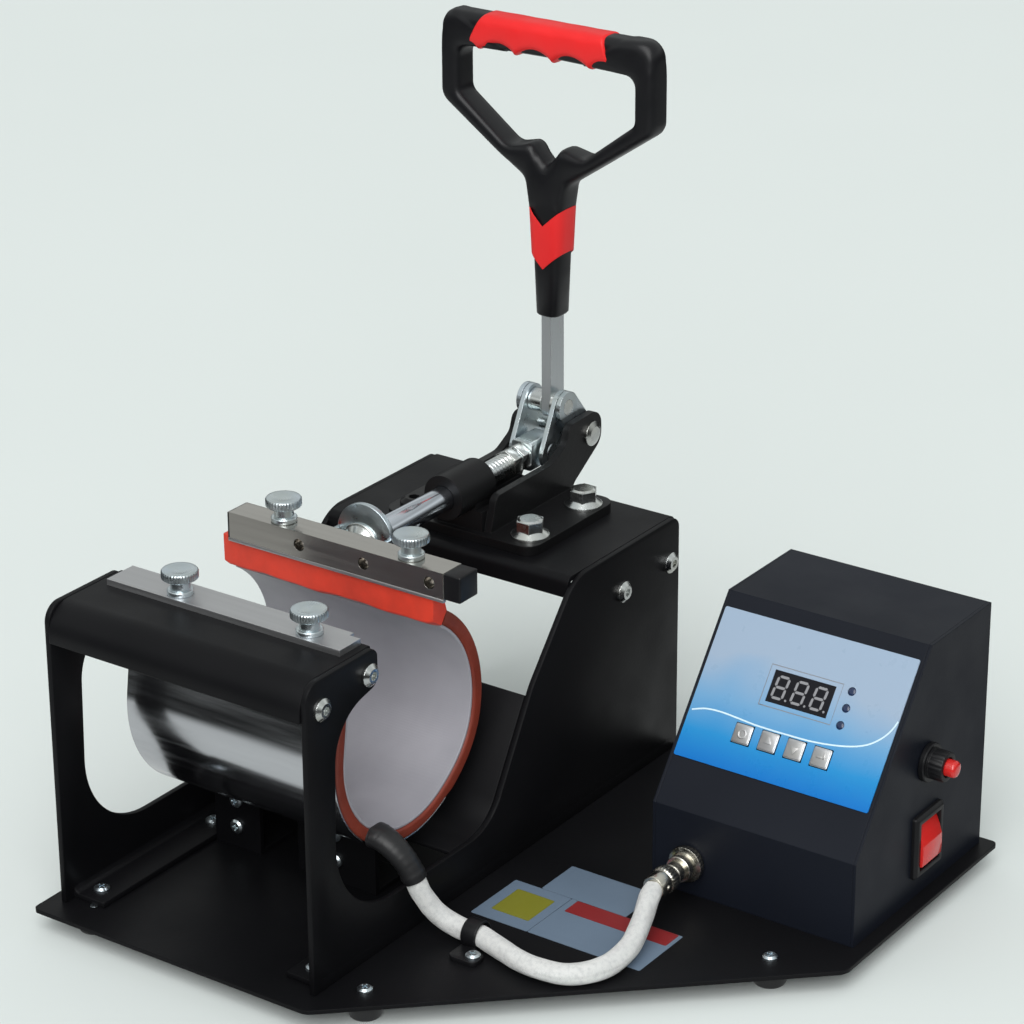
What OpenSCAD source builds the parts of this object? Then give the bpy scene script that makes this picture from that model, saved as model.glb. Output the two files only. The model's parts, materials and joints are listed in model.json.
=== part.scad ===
// Mug heat press: a wrap-around heater is closed round a mug by a hand toggle.
// X runs along the mug, Y runs from the operator to the rear, Z is up.

/* [Base] */
// Thickness of the base sheet
base_t = 2; // [1.5:0.5:3]
// Height of the rubber feet
foot_h = 10; // [8:1:14]

/* [Frame] */
// Width over the outer faces of the two side plates
frame_w = 150; // [146:1:158]
// Thickness of each side plate
plate_t = 3; // [2.5:0.5:3.5]
// Height of the front legs above the base
front_h = 152; // [150:1:154]
// Height of the rear shelf above the base
shelf_h = 127; // [125:0.5:128]

/* [Heater] */
// Length of the heater along the mug
heater_l = 122; // [110:1:126]
// Outer radius of the open heater
heater_r = 55; // [53:1:56]

/* [Toggle] */
// Diameter of the push rod
rod_d = 12.7; // [12:0.1:12.8]
// Radial running clearance of the rod and the pivots
run = 0.06; // [0.04:0.01:0.08]
// Length of the lever bar and its handle above the lever pin
lever_l = 195; // [185:1:200]

/* [Control box] */
// Width of the control box
box_w = 109; // [108:1:110]
// Height of the control box
box_h = 127; // [125:1:129]
// Thickness of the box sheet
box_t = 1.5; // [1.2:0.1:2]

/* [Hidden] */
$fn = 48;
cut = 0.5;                  // how far a cutter runs past the face it opens

// The outline of the base
base_left = -82;
base_front = -130;
base_right = 258;
base_rear = 180;
base_front_x = 79;          // where the front edge ends and the cut corner starts
base_right_y = 35;          // where the cut corner meets the right edge

// The control box
box_x = 141.5;              // its left side
box_y = 54;                 // its front
box_bend_z = 42.5;          // where its front starts to slope
box_top_y = 118;            // where the slope meets the top
box_rear_y = 175;
box_right = box_x + box_w;
slope_y = box_top_y - box_y;
slope_z = box_h - box_bend_z;
slope_l = sqrt(slope_y * slope_y + slope_z * slope_z);
slope_tilt = atan2(slope_z, slope_y);

// The toggle: B is the fixed pivot, H joins lever and link, P joins link and push rod
axis_z = 151.5;
pivot_b = [186, 155.5];
pivot_h = [172, 173];
pivot_p = [162, axis_z];
clamp_t = 5;                // thickness of the casting's flange
ear_in = 13.5;
ear_t = 4;
fork_in = 10.7;
link_in = 7.9;
side_t = 2.4;               // thickness of the lever and link plates
bar_x = 5.4;
bar_y = 11.6;
bar_mid_x = 2.6;            // the lever bar stands a little to the right of the rod
bar_mid_y = 173.5;
guide_front = 84;
guide_rear = 112;

// The whole object is centred over its own footprint
breaker_y = 118;
breaker_z = 68;
breaker_tip = 16;           // how far the reset button stands out of the box
ear_r = 9;
far_x = box_right + breaker_tip;
far_y = pivot_b[0] + ear_r;
mid_x = (base_left + far_x) / 2;
mid_y = (base_front + far_y) / 2;
module place() translate([-mid_x, -mid_y, base_t + foot_h]) children();

// The four fastener sizes, as radii: shank and clearance hole
m4 = 2;
m4_hole = 2.2;
m6 = 3;
m6_hole = 3.2;
m8 = 4;
m8_hole = 4.3;
pan_r = 3.6;                // head of the small pan screws

// Where the small fasteners sit
foot_spots = [[-60, -112], [90, -101], [224, 25], [240, 160], [-60, 162]];
flange_screw_y = [-103, -22, 60, 140];
cover_bolts = [[-108, 138], [-74, 141]];
shelf_bolts = [[128, 105], [170, 105]];
clamp_spots = [for (x = [-35, 35]) for (y = [107, 153]) [x, y]];
bracket_spans = [[-53.5, -26], [-3, 43]];

// The heater band and its jaws
heater_y = -27;
heater_z = 90;
sheath_t = 1;
pad_t = 6;
liner_t = 1.5;
band_t = sheath_t + pad_t + liner_t;
band_split = -60;           // angle on the round where the flexible tail begins
jaw_front = -10;
jaw_rear = 4;
jaw_top = 164;
jaw_low = 151;
jaw_left = -56;
jaw_right = 69;

// Rounds the corners of an outline: each point is [x, y, radius]
function unit(v) = v / norm(v);
function corner(a, p, b, r) =
    let (u = unit([a[0] - p[0], a[1] - p[1]]), v = unit([b[0] - p[0], b[1] - p[1]]),
        half = acos(u * v) / 2, d = r / tan(half), c = [p[0], p[1]] + unit(u + v) * r / sin(half),
        s = [p[0], p[1]] + u * d - c, e = [p[0], p[1]] + v * d - c,
        a0 = atan2(s[1], s[0]), turn0 = atan2(e[1], e[0]) - a0,
        turn = turn0 > 180 ? turn0 - 360 : turn0 < -180 ? turn0 + 360 : turn0,
        n = max(2, ceil(abs(turn) / 11)))
    [for (i = [0 : n]) c + r * [cos(a0 + turn * i / n), sin(a0 + turn * i / n)]];
function rounded(p) = [for (i = [0 : len(p) - 1])
    each (p[i][2] <= 0 ? [[p[i][0], p[i][1]]]
        : corner(p[(i + len(p) - 1) % len(p)], p[i], p[(i + 1) % len(p)], p[i][2]))];

// A profile drawn in Y and Z, extruded along X from x0 to x1
module along_x(x0, x1) translate([x0, 0, 0]) rotate([90, 0, 90]) linear_extrude(x1 - x0) children();
// A profile drawn in X and Z, extruded along Y from y0 to y1
module along_y(y0, y1) translate([0, y1, 0]) rotate([90, 0, 0]) linear_extrude(y1 - y0) children();
// Round bars along each axis
module bar_along_x(x0, x1, r) translate([x0, 0, 0]) rotate([0, 90, 0]) cylinder(h = x1 - x0, r = r);
module bar_along_y(y0, y1, r) translate([0, y0, 0]) rotate([-90, 0, 0]) cylinder(h = y1 - y0, r = r);
module at_yz(p) translate([0, p[0], p[1]]) children();
module slab(low, high) translate(low) cube(high - low);

// Base

module base_plate() color("#1c1c1f") place() difference() {
    translate([0, 0, -base_t]) linear_extrude(base_t) polygon(rounded([
        [base_left, base_front, 3], [base_front_x, base_front, 8], [base_right, base_right_y, 8],
        [base_right, base_rear, 3], [base_left, base_rear, 3]]));
    for (p = concat(foot_spots, [clip_screw]))
        translate([p[0], p[1], -base_t - cut]) cylinder(h = base_t + 2 * cut, r = m4_hole);
}

foot_wall = 3;              // rubber above the recess for the screw head
foot_low_r = 7.8;
module rubber_feet() color("#26262a") place() for (p = foot_spots)
    translate([p[0], p[1], -base_t - foot_h]) difference() {
        union() {
            cylinder(h = 1, r1 = foot_low_r - 0.8, r2 = foot_low_r);
            translate([0, 0, 1]) cylinder(h = foot_h - 1, r1 = foot_low_r, r2 = foot_low_r + 1.2);
        }
        translate([0, 0, -cut]) cylinder(h = foot_h - foot_wall + cut, r = pan_r + 0.9);
        translate([0, 0, foot_h - foot_wall - cut]) cylinder(h = foot_wall + 2 * cut, r = m4 + 0.05);
    }

// A domed pan head with a cross recess, its seat at z = 0
module pan_screw(head_r, shank_r, shank_l) {
    difference() {
        union() {
            cylinder(h = head_r * 0.35, r = head_r);
            translate([0, 0, head_r * 0.35]) cylinder(h = head_r * 0.25, r1 = head_r, r2 = head_r * 0.7);
        }
        for (a = [0, 90]) rotate(a)
            translate([-head_r * 0.5, -0.4, head_r * 0.3]) cube([head_r, 0.8, head_r]);
    }
    translate([0, 0, -shank_l]) cylinder(h = shank_l, r = shank_r);
}

module base_screws() color("#c9ccd0") place() {
    for (p = foot_spots)
        if (p[0] > 0) translate([p[0], p[1], 0]) pan_screw(pan_r, m4, base_t + foot_wall);
        else translate([p[0], p[1], -base_t - foot_wall])
            mirror([0, 0, 1]) pan_screw(pan_r, m4, base_t + foot_wall);
    translate([clip_screw[0], clip_screw[1], 2 * clip_t]) pan_screw(pan_r, m4, 2 * clip_t + base_t);
}

// Side plates

plate_front = -118;
plate_rear = 179;
flange_w = 18;
inside = frame_w / 2 - plate_t;         // half the gap between the side plates
flange_x = inside - flange_w / 2;
module side_outline() polygon(rounded([
    [plate_front, 0, 0], [plate_front, front_h, 9], [-67, front_h, 5], [-67, 134, 6],
    [-98, 127, 26], [-101, 24, 42], [17, 24, 28], [52, 84, 24], [88, shelf_h, 24],
    [plate_rear, shelf_h, 6], [plate_rear, 0, 0]]));
module side_plate() difference() {
    union() {
        along_x(inside, inside + plate_t) side_outline();
        slab([inside - flange_w, plate_front + 6, 0], [inside, plate_rear - 4, plate_t]);
    }
    for (b = concat(cover_bolts, shelf_bolts))
        at_yz(b) bar_along_x(inside - cut, inside + plate_t + cut, m6_hole);
    for (y = flange_screw_y) translate([flange_x, y, -cut]) cylinder(h = plate_t + 2 * cut, r = m4_hole);
}
module left_side_plate() color("#19191c") place() mirror([1, 0, 0]) side_plate();
module right_side_plate() color("#19191c") place() side_plate();

module flange_screws() color("#b9bcc0") place() for (s = [-1, 1]) for (y = flange_screw_y)
    translate([s * flange_x, y, plate_t]) pan_screw(pan_r + 0.2, m4, plate_t);

// Front cover, its clamp strip and the thumb screws

sheet = 2.5;                // thickness of the folded cover, shelf and brackets
cover_front = -119;
cover_rear = -68;
cover_bend = 14;
cover_lip = 5;
module front_cover() color("#1d1d20") place() difference() {
    union() {
        along_x(-inside, inside) polygon(rounded([[cover_front, 134, 0], [cover_front, front_h, cover_bend],
            [cover_rear, front_h, 0], [cover_rear, front_h - cover_lip, 0],
            [cover_rear - sheet, front_h - cover_lip, 0], [cover_rear - sheet, front_h - sheet, 0],
            [cover_front + sheet, front_h - sheet, cover_bend - sheet], [cover_front + sheet, 134, 0]]));
        for (s = [-1, 1]) translate([s * (inside - sheet / 2), 0, 0])
            slab([-sheet / 2, -114, 131], [sheet / 2, -69, front_h - sheet - 0.5]);
    }
    for (b = cover_bolts) at_yz(b) bar_along_x(-inside - cut, inside + cut, m6_hole);
    for (x = screw_x)
        translate([x, front_screw_y, front_h - 2 * sheet]) cylinder(h = 3 * sheet, r = m6_hole);
}

// A button-head bolt along X, its seat at x = 0, with a hexagon nut at the other end
module frame_bolt(grip) {
    difference() {
        union() {
            bar_along_x(0, 1.6, 5.4);
            translate([1.6, 0, 0]) rotate([0, 90, 0]) cylinder(h = 1.6, r1 = 5.4, r2 = 3.4);
        }
        translate([1.4, 0, 0]) rotate([0, 90, 0]) cylinder(h = 3, r = 2.1, $fn = 6);
    }
    bar_along_x(-grip - 6, 0, m6);
    translate([-grip - 5, 0, 0]) rotate([0, 90, 0]) cylinder(h = 5, r = 5.7, $fn = 6);
}
module frame_bolts() color("#cfd2d6") place() for (b = concat(cover_bolts, shelf_bolts)) at_yz(b) {
    translate([frame_w / 2, 0, 0]) frame_bolt(plate_t + sheet);
    mirror([1, 0, 0]) translate([frame_w / 2, 0, 0]) frame_bolt(plate_t + sheet);
}

screw_x = [-28, 46];        // the two thumb screws of either jaw
front_screw_y = -78;
rear_screw_y = -3;
strip_t = 3;
module clamp_strip() color("#b4b3b0") place() difference() {
    union() {
        slab([-66, -85, front_h], [68, -70, front_h + strip_t]);
        slab([-66, -70, front_h], [62, -67, front_h + strip_t]);
    }
    for (x = screw_x)
        translate([x, front_screw_y, front_h - cut]) cylinder(h = strip_t + 2 * cut, r = m6_hole);
}

// A flat knob on a stepped neck, its seat at z = 0
module thumb_screw(shank_l) {
    translate([0, 0, -shank_l]) cylinder(h = shank_l, r = m6);
    cylinder(h = 2.5, r = 6.2);
    translate([0, 0, 2.5]) cylinder(h = 4.5, r = 4.6);
    translate([0, 0, 7]) cylinder(h = 1.2, r1 = 7.2, r2 = 8.6);
    translate([0, 0, 8.2]) difference() {
        cylinder(h = 3, r = 8.6);
        for (a = [0 : 15 : 345])
            rotate(a) translate([8.9, 0, -cut]) cylinder(h = 3 + 2 * cut, r = 0.6, $fn = 8);
    }
    translate([0, 0, 11.2]) cylinder(h = 1, r1 = 8.6, r2 = 7.4);
}
module front_thumb_screw(x) color("#aebdc4") place()
    translate([x, front_screw_y, front_h + strip_t]) thumb_screw(9);
module rear_thumb_screw(x) color("#aebdc4") place()
    translate([x, rear_screw_y, jaw_top]) thumb_screw(11);
module thumb_screw_front_left() front_thumb_screw(screw_x[0]);
module thumb_screw_front_right() front_thumb_screw(screw_x[1]);
module thumb_screw_rear_left() rear_thumb_screw(screw_x[0]);
module thumb_screw_rear_right() rear_thumb_screw(screw_x[1]);

// Rear shelf and the panel that closes the cradle

shelf_front = 85;
module rear_shelf() color("#1b1b1e") place() difference() {
    union() {
        along_x(-inside, inside) polygon(rounded([[shelf_front, 116.5, 0], [shelf_front, shelf_h, 4],
            [plate_rear, shelf_h, 4], [plate_rear, 96, 0], [plate_rear - sheet, 96, 0],
            [plate_rear - sheet, shelf_h - sheet, 1.5], [shelf_front + sheet, shelf_h - sheet, 1.5],
            [shelf_front + sheet, 116.5, 0]]));
        for (s = [-1, 1]) translate([s * (inside - sheet / 2), 0, 0])
            slab([-sheet / 2, 110, 94], [sheet / 2, plate_rear - sheet, shelf_h - sheet]);
    }
    for (b = shelf_bolts) at_yz(b) bar_along_x(-inside - cut, inside + cut, m6_hole);
    for (p = clamp_spots) translate([p[0], p[1], shelf_h - 2 * sheet]) cylinder(h = 3 * sheet, r = m8_hole);
}

module cradle_panel() color("#2c2c30") place() along_x(-inside, inside) polygon(rounded([
    [-12, 22, 0], [-12, 24, 0], [16, 24, 26], [49, 80, 0], [50.7, 79, 0], [17.3, 22, 28]]));

// Heater: a horseshoe band of three layers, whose rear end is carried by the moving jaw

front_angle = 172;
rear_angle = 58;            // where the tail ends, just under the moving jaw
tail_gap = 0.35;
tail_bulge = 2.5;           // how much wider than the front half the tail stands
function ring(r, a) = [heater_y + r * cos(a), heater_z + r * sin(a)];
function tangent_up(a, s) = s * [-sin(a), cos(a)];
// One edge of the band, at radius r, from its front end down and round to the split
function front_edge(r) = concat([ring(r, front_angle) - tangent_up(front_angle, 46)],
    [for (a = [front_angle : 8 : 360 + band_split]) ring(r, a)], [ring(r, 360 + band_split)]);
// The rest of that edge, from the split up to the moving jaw
function bulged(r, a) = ring(r + tail_bulge * min(1, (a - band_split) / 45), a);
function rear_edge(r) =
    concat([for (a = [band_split : 8 : rear_angle - 1]) bulged(r, a)], [bulged(r, rear_angle)]);
function reversed(p) = [for (i = [len(p) - 1 : -1 : 0]) p[i]];
module front_band(outer, inner) along_x(-heater_l / 2, heater_l / 2)
    polygon(concat(front_edge(outer), reversed(front_edge(inner))));
module heater_sheath() color("#c3c6c9") place() front_band(heater_r, heater_r - sheath_t);
module heater_pad() color("#b03a20") place() front_band(heater_r - sheath_t, heater_r - sheath_t - pad_t);
module heater_liner() color("#cfd0d3") place()
    front_band(heater_r - sheath_t - pad_t, heater_r - band_t);
module heater_tail() color("#c04428") place() along_x(-heater_l / 2, heater_l / 2)
    polygon(concat(rear_edge(heater_r), reversed(rear_edge(heater_r - band_t))));

bracket_y = heater_y - 4;
bracket_top = heater_z - heater_r - 0.1;
bracket_screw_z = [12, 26];
function middle(span) = (span[0] + span[1]) / 2;
module heater_brackets() color("#202023") place() for (b = bracket_spans) {
    slab([b[0], bracket_y, 0], [b[1], bracket_y + 25, sheet]);
    difference() {
        slab([b[0], bracket_y, sheet], [b[1], bracket_y + sheet, bracket_top]);
        for (z = bracket_screw_z)
            translate([middle(b), 0, z]) bar_along_y(bracket_y - cut, bracket_y + sheet + cut, m4_hole);
    }
    slab([b[0], bracket_y, bracket_top - 1], [b[1], bracket_y + 12, bracket_top]);
}
module bracket_screws() color("#b9bcc0") place() for (b = bracket_spans) for (z = bracket_screw_z)
    translate([middle(b), bracket_y, z]) rotate([90, 0, 0]) pan_screw(pan_r, m4, 7);

// Heater lead: boot, sleeved cable, clip and plug

lead_d = 10.5;
clip_x = 108;
clip_y = -41.5;
clip_t = 1.2;
clip_z = 6.6;               // height of the lead inside its clip
clip_screw = [clip_x + 7, clip_y - 12];
plug_x = 162;
plug_z = 17;
plug_front = 24;
boot_route = [[61.3, -54, 48.5], [64, -54, 48.5], [69, -53.8, 46.5], [74, -53, 42.5], [78, -51.8, 37],
    [81, -50.5, 30]];
lead_route = [[81, -50.5, 30], [83.5, -48.8, 22.5], [87, -46, 15], [92.5, -43.5, 9.5], [100, -41.8, 7],
    [108, -41.5, clip_z], [117, -43.5, 6.2], [127, -46, 5.8], [137, -48.3, 5.6], [148, -49.5, 5.5],
    [159.5, -47, 5.5], [168, -39.5, 5.5], [172.5, -28, 5.7], [173, -14.5, 6.8], [170, -1.5, 9.2],
    [166.5, 8.5, 12], [163.6, 17, 14.9], [plug_x, plug_front, plug_z]];

// A round tube swept through a list of points with n sides
function heading(p, i) = unit(p[min(i + 1, len(p) - 1)] - p[max(i - 1, 0)]);
function side_of(h) = unit(cross(h, abs(h[2]) > 0.9 ? [0, 1, 0] : [0, 0, 1]));
function tube_ring(p, i, r, n) = let (h = heading(p, i), u = side_of(h), v = cross(h, u))
    [for (k = [0 : n - 1]) p[i] + r * (cos(360 * k / n) * u + sin(360 * k / n) * v)];
module tube(p, r, n) {
    m = len(p);
    points = [for (i = [0 : m - 1]) each tube_ring(p, i, r, n)];
    walls = [for (i = [0 : m - 2]) for (k = [0 : n - 1])
        [i * n + k, i * n + (k + 1) % n, (i + 1) * n + (k + 1) % n, (i + 1) * n + k]];
    ends = [[for (k = [n - 1 : -1 : 0]) k], [for (k = [0 : n - 1]) (m - 1) * n + k]];
    polyhedron(points, concat(walls, ends));
}
module heater_cable() color("#e6e7e8") place() tube(lead_route, lead_d / 2, 12);
module cable_boot() color("#1a1a1c") place() tube(boot_route, lead_d / 2 + 1.2, 12);

clip_half = 4;
clip_tail = 17;
module p_clip() color("#2a2a2d") place() translate([clip_x, clip_y, 0]) difference() {
    union() {
        along_x(-clip_half, clip_half) {
            translate([0, clip_z]) circle(r = lead_d / 2 + clip_t);
            translate([-clip_tail, 0]) square([clip_tail, 2 * clip_t]);
        }
        slab([clip_half, -clip_tail, 0], [11, 1 - clip_tail / 2, 2 * clip_t]);
    }
    translate([0, 0, clip_z]) bar_along_x(-clip_half - cut, clip_half + cut, lead_d / 2);
    translate([clip_screw[0] - clip_x, clip_screw[1] - clip_y, -cut])
        cylinder(h = 2 * clip_t + 2 * cut, r = m4_hole);
}

ring_y = plug_front + 7;
neck_y = plug_front + 20;
module cable_plug() color("#b5b0a2") place() translate([plug_x, 0, plug_z]) {
    bar_along_y(plug_front, ring_y, 5.8);
    bar_along_y(ring_y, ring_y + 5, 6.8);
    bar_along_y(ring_y + 5, neck_y, 5);
}
module panel_socket() color("#a9a494") place() translate([plug_x, 0, plug_z]) {
    bar_along_y(neck_y, box_y - 4, 6.6);
    bar_along_y(box_y - 4, box_y - 1, 9);
    bar_along_y(box_y - 1, box_y + 12, 7.9);
}

// Control box

// A part drawn on the sloping front: x to the right, y up the slope, z outwards
module on_slope() translate([box_x, box_y, box_bend_z]) rotate([slope_tilt, 0, 0]) children();
function box_profile(d) = [
    [box_y + d, 0, 0], [box_y + d, box_bend_z + d * tan((90 - slope_tilt) / 2), 0],
    [box_top_y + d * tan(slope_tilt / 2), box_h - d, 0], [box_rear_y - d, box_h - d, 0],
    [box_rear_y - d, 0, 0]];
key_x = [33, 47, 61, 75];
key_s = 42;
key_w = 10;
led_x = 78.6;
led_s = [58.9, 67.2, 75.4];
led_r = 2;
window = [38, 60, 70.5, 75.6];          // left, low, right and top edges on the slope
module box_wrap() color("#212226") place() difference() {
    along_x(box_x + box_t + 0.05, box_right - box_t - 0.05) difference() {
        polygon(rounded(box_profile(0)));
        translate([0, -cut]) polygon([for (p = box_profile(box_t)) [p[0], p[1] + (p[1] > 1 ? cut : 0)]]);
    }
    translate([plug_x, 0, plug_z]) bar_along_y(box_y - cut, box_y + box_t + cut, 8);
    on_slope() {
        slab([window[0], window[1], -4], [window[2], window[3], 4]);
        for (x = key_x) slab([x - key_w / 2, key_s - key_w / 2, -4], [x + key_w / 2, key_s + key_w / 2, 4]);
        for (s = led_s) translate([led_x, s, -4]) cylinder(h = 8, r = led_r + 0.1);
    }
    slab([inlet_x - 14, box_rear_y - 4, inlet_z - 10], [inlet_x + 14, box_rear_y + 4, inlet_z + 10]);
}
module box_sides() color("#25262a") place() {
    along_x(box_x, box_x + box_t) polygon(rounded(box_profile(0)));
    difference() {
        along_x(box_right - box_t, box_right) polygon(rounded(box_profile(0)));
        translate([0, breaker_y, breaker_z]) bar_along_x(box_right - 4, box_right + 4, 6.1);
        slab([box_right - 4, rocker_y - 11, rocker_z - 14], [box_right + 4, rocker_y + 11, rocker_z + 14]);
    }
}

module overlay_panel() color("#4f9ddb") place() on_slope() difference() {
    translate([0, 0, 0.02]) linear_extrude(0.6) polygon(rounded([
        [2, 24, 1], [box_w - 3, 24, 1], [box_w - 3, slope_l - 8, 1], [2, slope_l - 8, 1]]));
    slab([window[0], window[1], -1], [window[2], window[3], 2]);
    for (x = key_x) slab([x - key_w / 2, key_s - key_w / 2, -1], [x + key_w / 2, key_s + key_w / 2, 2]);
    for (s = led_s) translate([led_x, s, -1]) cylinder(h = 3, r = led_r + 0.1);
}
module display_window() color("#16161a") place() on_slope()
    slab([window[0] + 0.1, window[1] + 0.1, -5.9], [window[2] - 0.1, window[3] - 0.1, 0.4]);
module led_lenses() color("#1d2638") place() on_slope() for (s = led_s)
    translate([led_x, s, -5.9]) cylinder(h = 6.5, r = led_r);
key_half = key_w / 2 - 0.35;
module key_cap(i) color("#d8d8d8") place() on_slope() {
    translate([key_x[i], key_s, 0]) {
        slab([-key_half, -key_half, -1.8], [key_half, key_half, 1.5]);
        translate([0, 0, -4.8]) cylinder(h = 3, r = 2);
    }
}
module key_set() key_cap(0);
module key_up() key_cap(1);
module key_down() key_cap(2);
module key_enter() key_cap(3);

// Thermal breaker with its red reset button, on the right side
module breaker_body() color("#121214") place() translate([box_right, breaker_y, breaker_z]) difference() {
    union() {
        bar_along_x(-20, 0, 6);
        bar_along_x(0, 3, 9.5);
        bar_along_x(3, 11, 7.4);
    }
    bar_along_x(2, 11 + cut, 4.4);
}
module reset_button() color("#c5202a") place() translate([box_right, breaker_y, breaker_z]) {
    bar_along_x(5, breaker_tip - 1, 4.1);
    translate([breaker_tip - 1, 0, 0]) rotate([0, 90, 0]) cylinder(h = 1, r1 = 4.1, r2 = 3.2);
}

// Mains rocker switch
rocker_y = 119;
rocker_z = 27;
rocker_rest = 10;
rocker_in = 1;              // how far the rocker's pin lies inside the face of the box
rocker_pin = 1.5;
module rocker_frame() color("#101012") place() translate([box_right, rocker_y, rocker_z]) difference() {
    union() {
        slab([0, -13, -16], [3, 13, 16]);
        slab([-18, -10.8, -13.8], [0, 10.8, 13.8]);
    }
    slab([-8, -9.3, -12.3], [3 + cut, 9.3, 12.3]);
    translate([-rocker_in, 0, 0]) bar_along_y(-10.9, 10.9, rocker_pin + run);
}
module rocker() color("#c8202a") place() translate([box_right - rocker_in, rocker_y, rocker_z])
    rotate([0, -rocker_rest, 0]) {
        along_y(-9, 9) polygon(rounded([
            [-3, -9.5, 0], [3.2, -11, 1], [5.6, 0, 0], [3.2, 11, 1], [-3, 9.5, 0]]));
        bar_along_y(-10.7, 10.7, rocker_pin);
    }

inlet_x = box_x + 78;
inlet_z = 30;
module mains_inlet() color("#141416") place() translate([inlet_x, box_rear_y, inlet_z]) difference() {
    union() {
        slab([-25, 0, -11.5], [25, 3, 11.5]);
        slab([-13.7, -20, -9.8], [13.7, 0, 9.8]);
    }
    slab([-12, -14, -8], [12, 3 + cut, 8]);
}
module circuit_board() color("#2e6b3c") place() on_slope() {
    slab([22, 30, -7.5], [92, 84, -5.9]);
    for (x = [24, 90]) for (s = [32, 82]) translate([x, s, -5.9]) cylinder(h = 4, r = 1.6);
}
module transformer() color("#8a6a3a") place() {
    slab([box_x + 12, 118, 0], [box_x + 60, 160, 3]);
    slab([box_x + 18, 122, 3], [box_x + 54, 156, 42]);
    slab([box_x + 12, 130, 10], [box_x + 60, 148, 34]);
}

module info_labels() color("#c8cdd2") place() {
    slab([88, -18, 0], [119.8, 18.6, 0.3]);
    slab([102.6, 19, 0], [150, 44.5, 0.3]);
    slab([120.2, -18, 0], [181.5, 18.6, 0.3]);
}

// Toggle clamp: casting, pivots, lever and link

module ear_outline() polygon(rounded([
    [98, shelf_h + 2, 0], [104, axis_z - 2, 5], [152, axis_z - 1.5, 12], [164, pivot_b[1] + 1, 6],
    [167, pivot_b[1] + 10, 5], [pivot_b[0] + ear_r, pivot_b[1] + 11, 8],
    [pivot_b[0] + ear_r, pivot_b[1] - 6, 9], [171, shelf_h + 7, 6], [168, shelf_h + 2, 0]]));
module clamp_base() color("#1e1e21") place() difference() {
    union() {
        translate([0, 0, shelf_h]) linear_extrude(clamp_t) polygon(rounded([
            [-45, 94, 8], [45, 94, 8], [45, 168, 8], [-45, 168, 8]]));
        for (s = [0, 1]) mirror([s, 0, 0]) {
            along_x(ear_in, ear_in + ear_t) ear_outline();
            slab([9, 97, shelf_h + 4], [ear_in, 133, axis_z - 9]);
        }
        translate([0, 0, axis_z]) bar_along_y(guide_front, guide_rear, 11.4);
        slab([-10, 97, shelf_h + 4], [10, guide_rear - 2, axis_z - 4]);
    }
    translate([0, 0, axis_z]) bar_along_y(guide_front - 3, guide_rear + cut, rod_d / 2 + run);
    for (p = clamp_spots) translate([p[0], p[1], shelf_h - cut]) cylinder(h = clamp_t + 2 * cut, r = m8_hole);
    at_yz(pivot_b) bar_along_x(-30, 30, m8);
}

// A flanged hexagon bolt, its seat at z = 0
module flange_bolt(flange_r, hex_r, shank_r, shank_l) {
    translate([0, 0, -shank_l]) cylinder(h = shank_l, r = shank_r);
    cylinder(h = flange_r * 0.16, r = flange_r);
    translate([0, 0, flange_r * 0.16]) cylinder(h = flange_r * 0.22, r1 = flange_r * 0.97, r2 = hex_r * 0.9);
    translate([0, 0, flange_r * 0.2]) cylinder(h = hex_r * 0.95, r = hex_r, $fn = 6);
    translate([0, 0, flange_r * 0.2 + hex_r * 0.95]) cylinder(h = 0.7, r1 = hex_r * 0.85, r2 = hex_r * 0.7);
}
bolt_flange = 9.5;
bolt_hex = 7.2;
nut_h = 6.5;
module on_clamp(s) place() for (p = clamp_spots) if (s * p[0] > 0)
    translate([p[0], p[1], shelf_h + clamp_t]) {
        children();
        translate([0, 0, -clamp_t - sheet - nut_h]) cylinder(h = nut_h, r = 7.4, $fn = 6);
    }
module clamp_bolts() color("#c4c7c6") on_clamp(1) flange_bolt(bolt_flange, bolt_hex, m8, 18);
// The two on the left are low black button heads
module clamp_screws() color("#1e1e21") on_clamp(-1) difference() {
    union() {
        translate([0, 0, -18]) cylinder(h = 18, r = m8);
        cylinder(h = 2, r = 7);
        translate([0, 0, 2]) cylinder(h = 2, r1 = 7, r2 = 4.4);
    }
    translate([0, 0, 1.5]) cylinder(h = 3, r = 2.9, $fn = 6);
}

rivet_r = 6.4;
module pivot_pin() color("#b8bcbf") place() at_yz(pivot_b) {
    bar_along_x(-ear_in - ear_t, ear_in + ear_t, m8);
    for (s = [0, 1]) mirror([s, 0, 0]) translate([ear_in + ear_t, 0, 0]) {
        bar_along_x(0, 1.2, rivet_r);
        translate([1.2, 0, 0]) rotate([0, 90, 0]) cylinder(h = 1.2, r1 = rivet_r, r2 = m8);
    }
}

// A flat link with round ends between two points in Y and Z
module link_outline(a, b, ra, rb) hull() {
    translate(a) circle(r = ra, $fn = 32);
    translate(b) circle(r = rb, $fn = 32);
}
link_r = 8;
module lever_plates() color("#b9bec0") place() difference() {
    for (s = [0, 1]) mirror([s, 0, 0])
        along_x(fork_in, fork_in + side_t) link_outline(pivot_b, pivot_h, link_r, link_r);
    at_yz(pivot_b) bar_along_x(-20, 20, m8 + run);
    at_yz(pivot_h) bar_along_x(-20, 20, m8);
}
bar_low = pivot_h[1] - 7.5;
bar_top = pivot_h[1] + lever_l - 75;
module lever_bar() color("#b6babc") place() difference() {
    along_x(bar_mid_x - bar_x / 2, bar_mid_x + bar_x / 2) polygon(rounded([
        [bar_mid_y - bar_y / 2, bar_low, 5], [bar_mid_y + bar_y / 2, bar_low, 5],
        [bar_mid_y + bar_y / 2, bar_top, 0], [bar_mid_y - bar_y / 2, bar_top, 0]]));
    at_yz(pivot_h) bar_along_x(-20, 20, m8);
}
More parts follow.
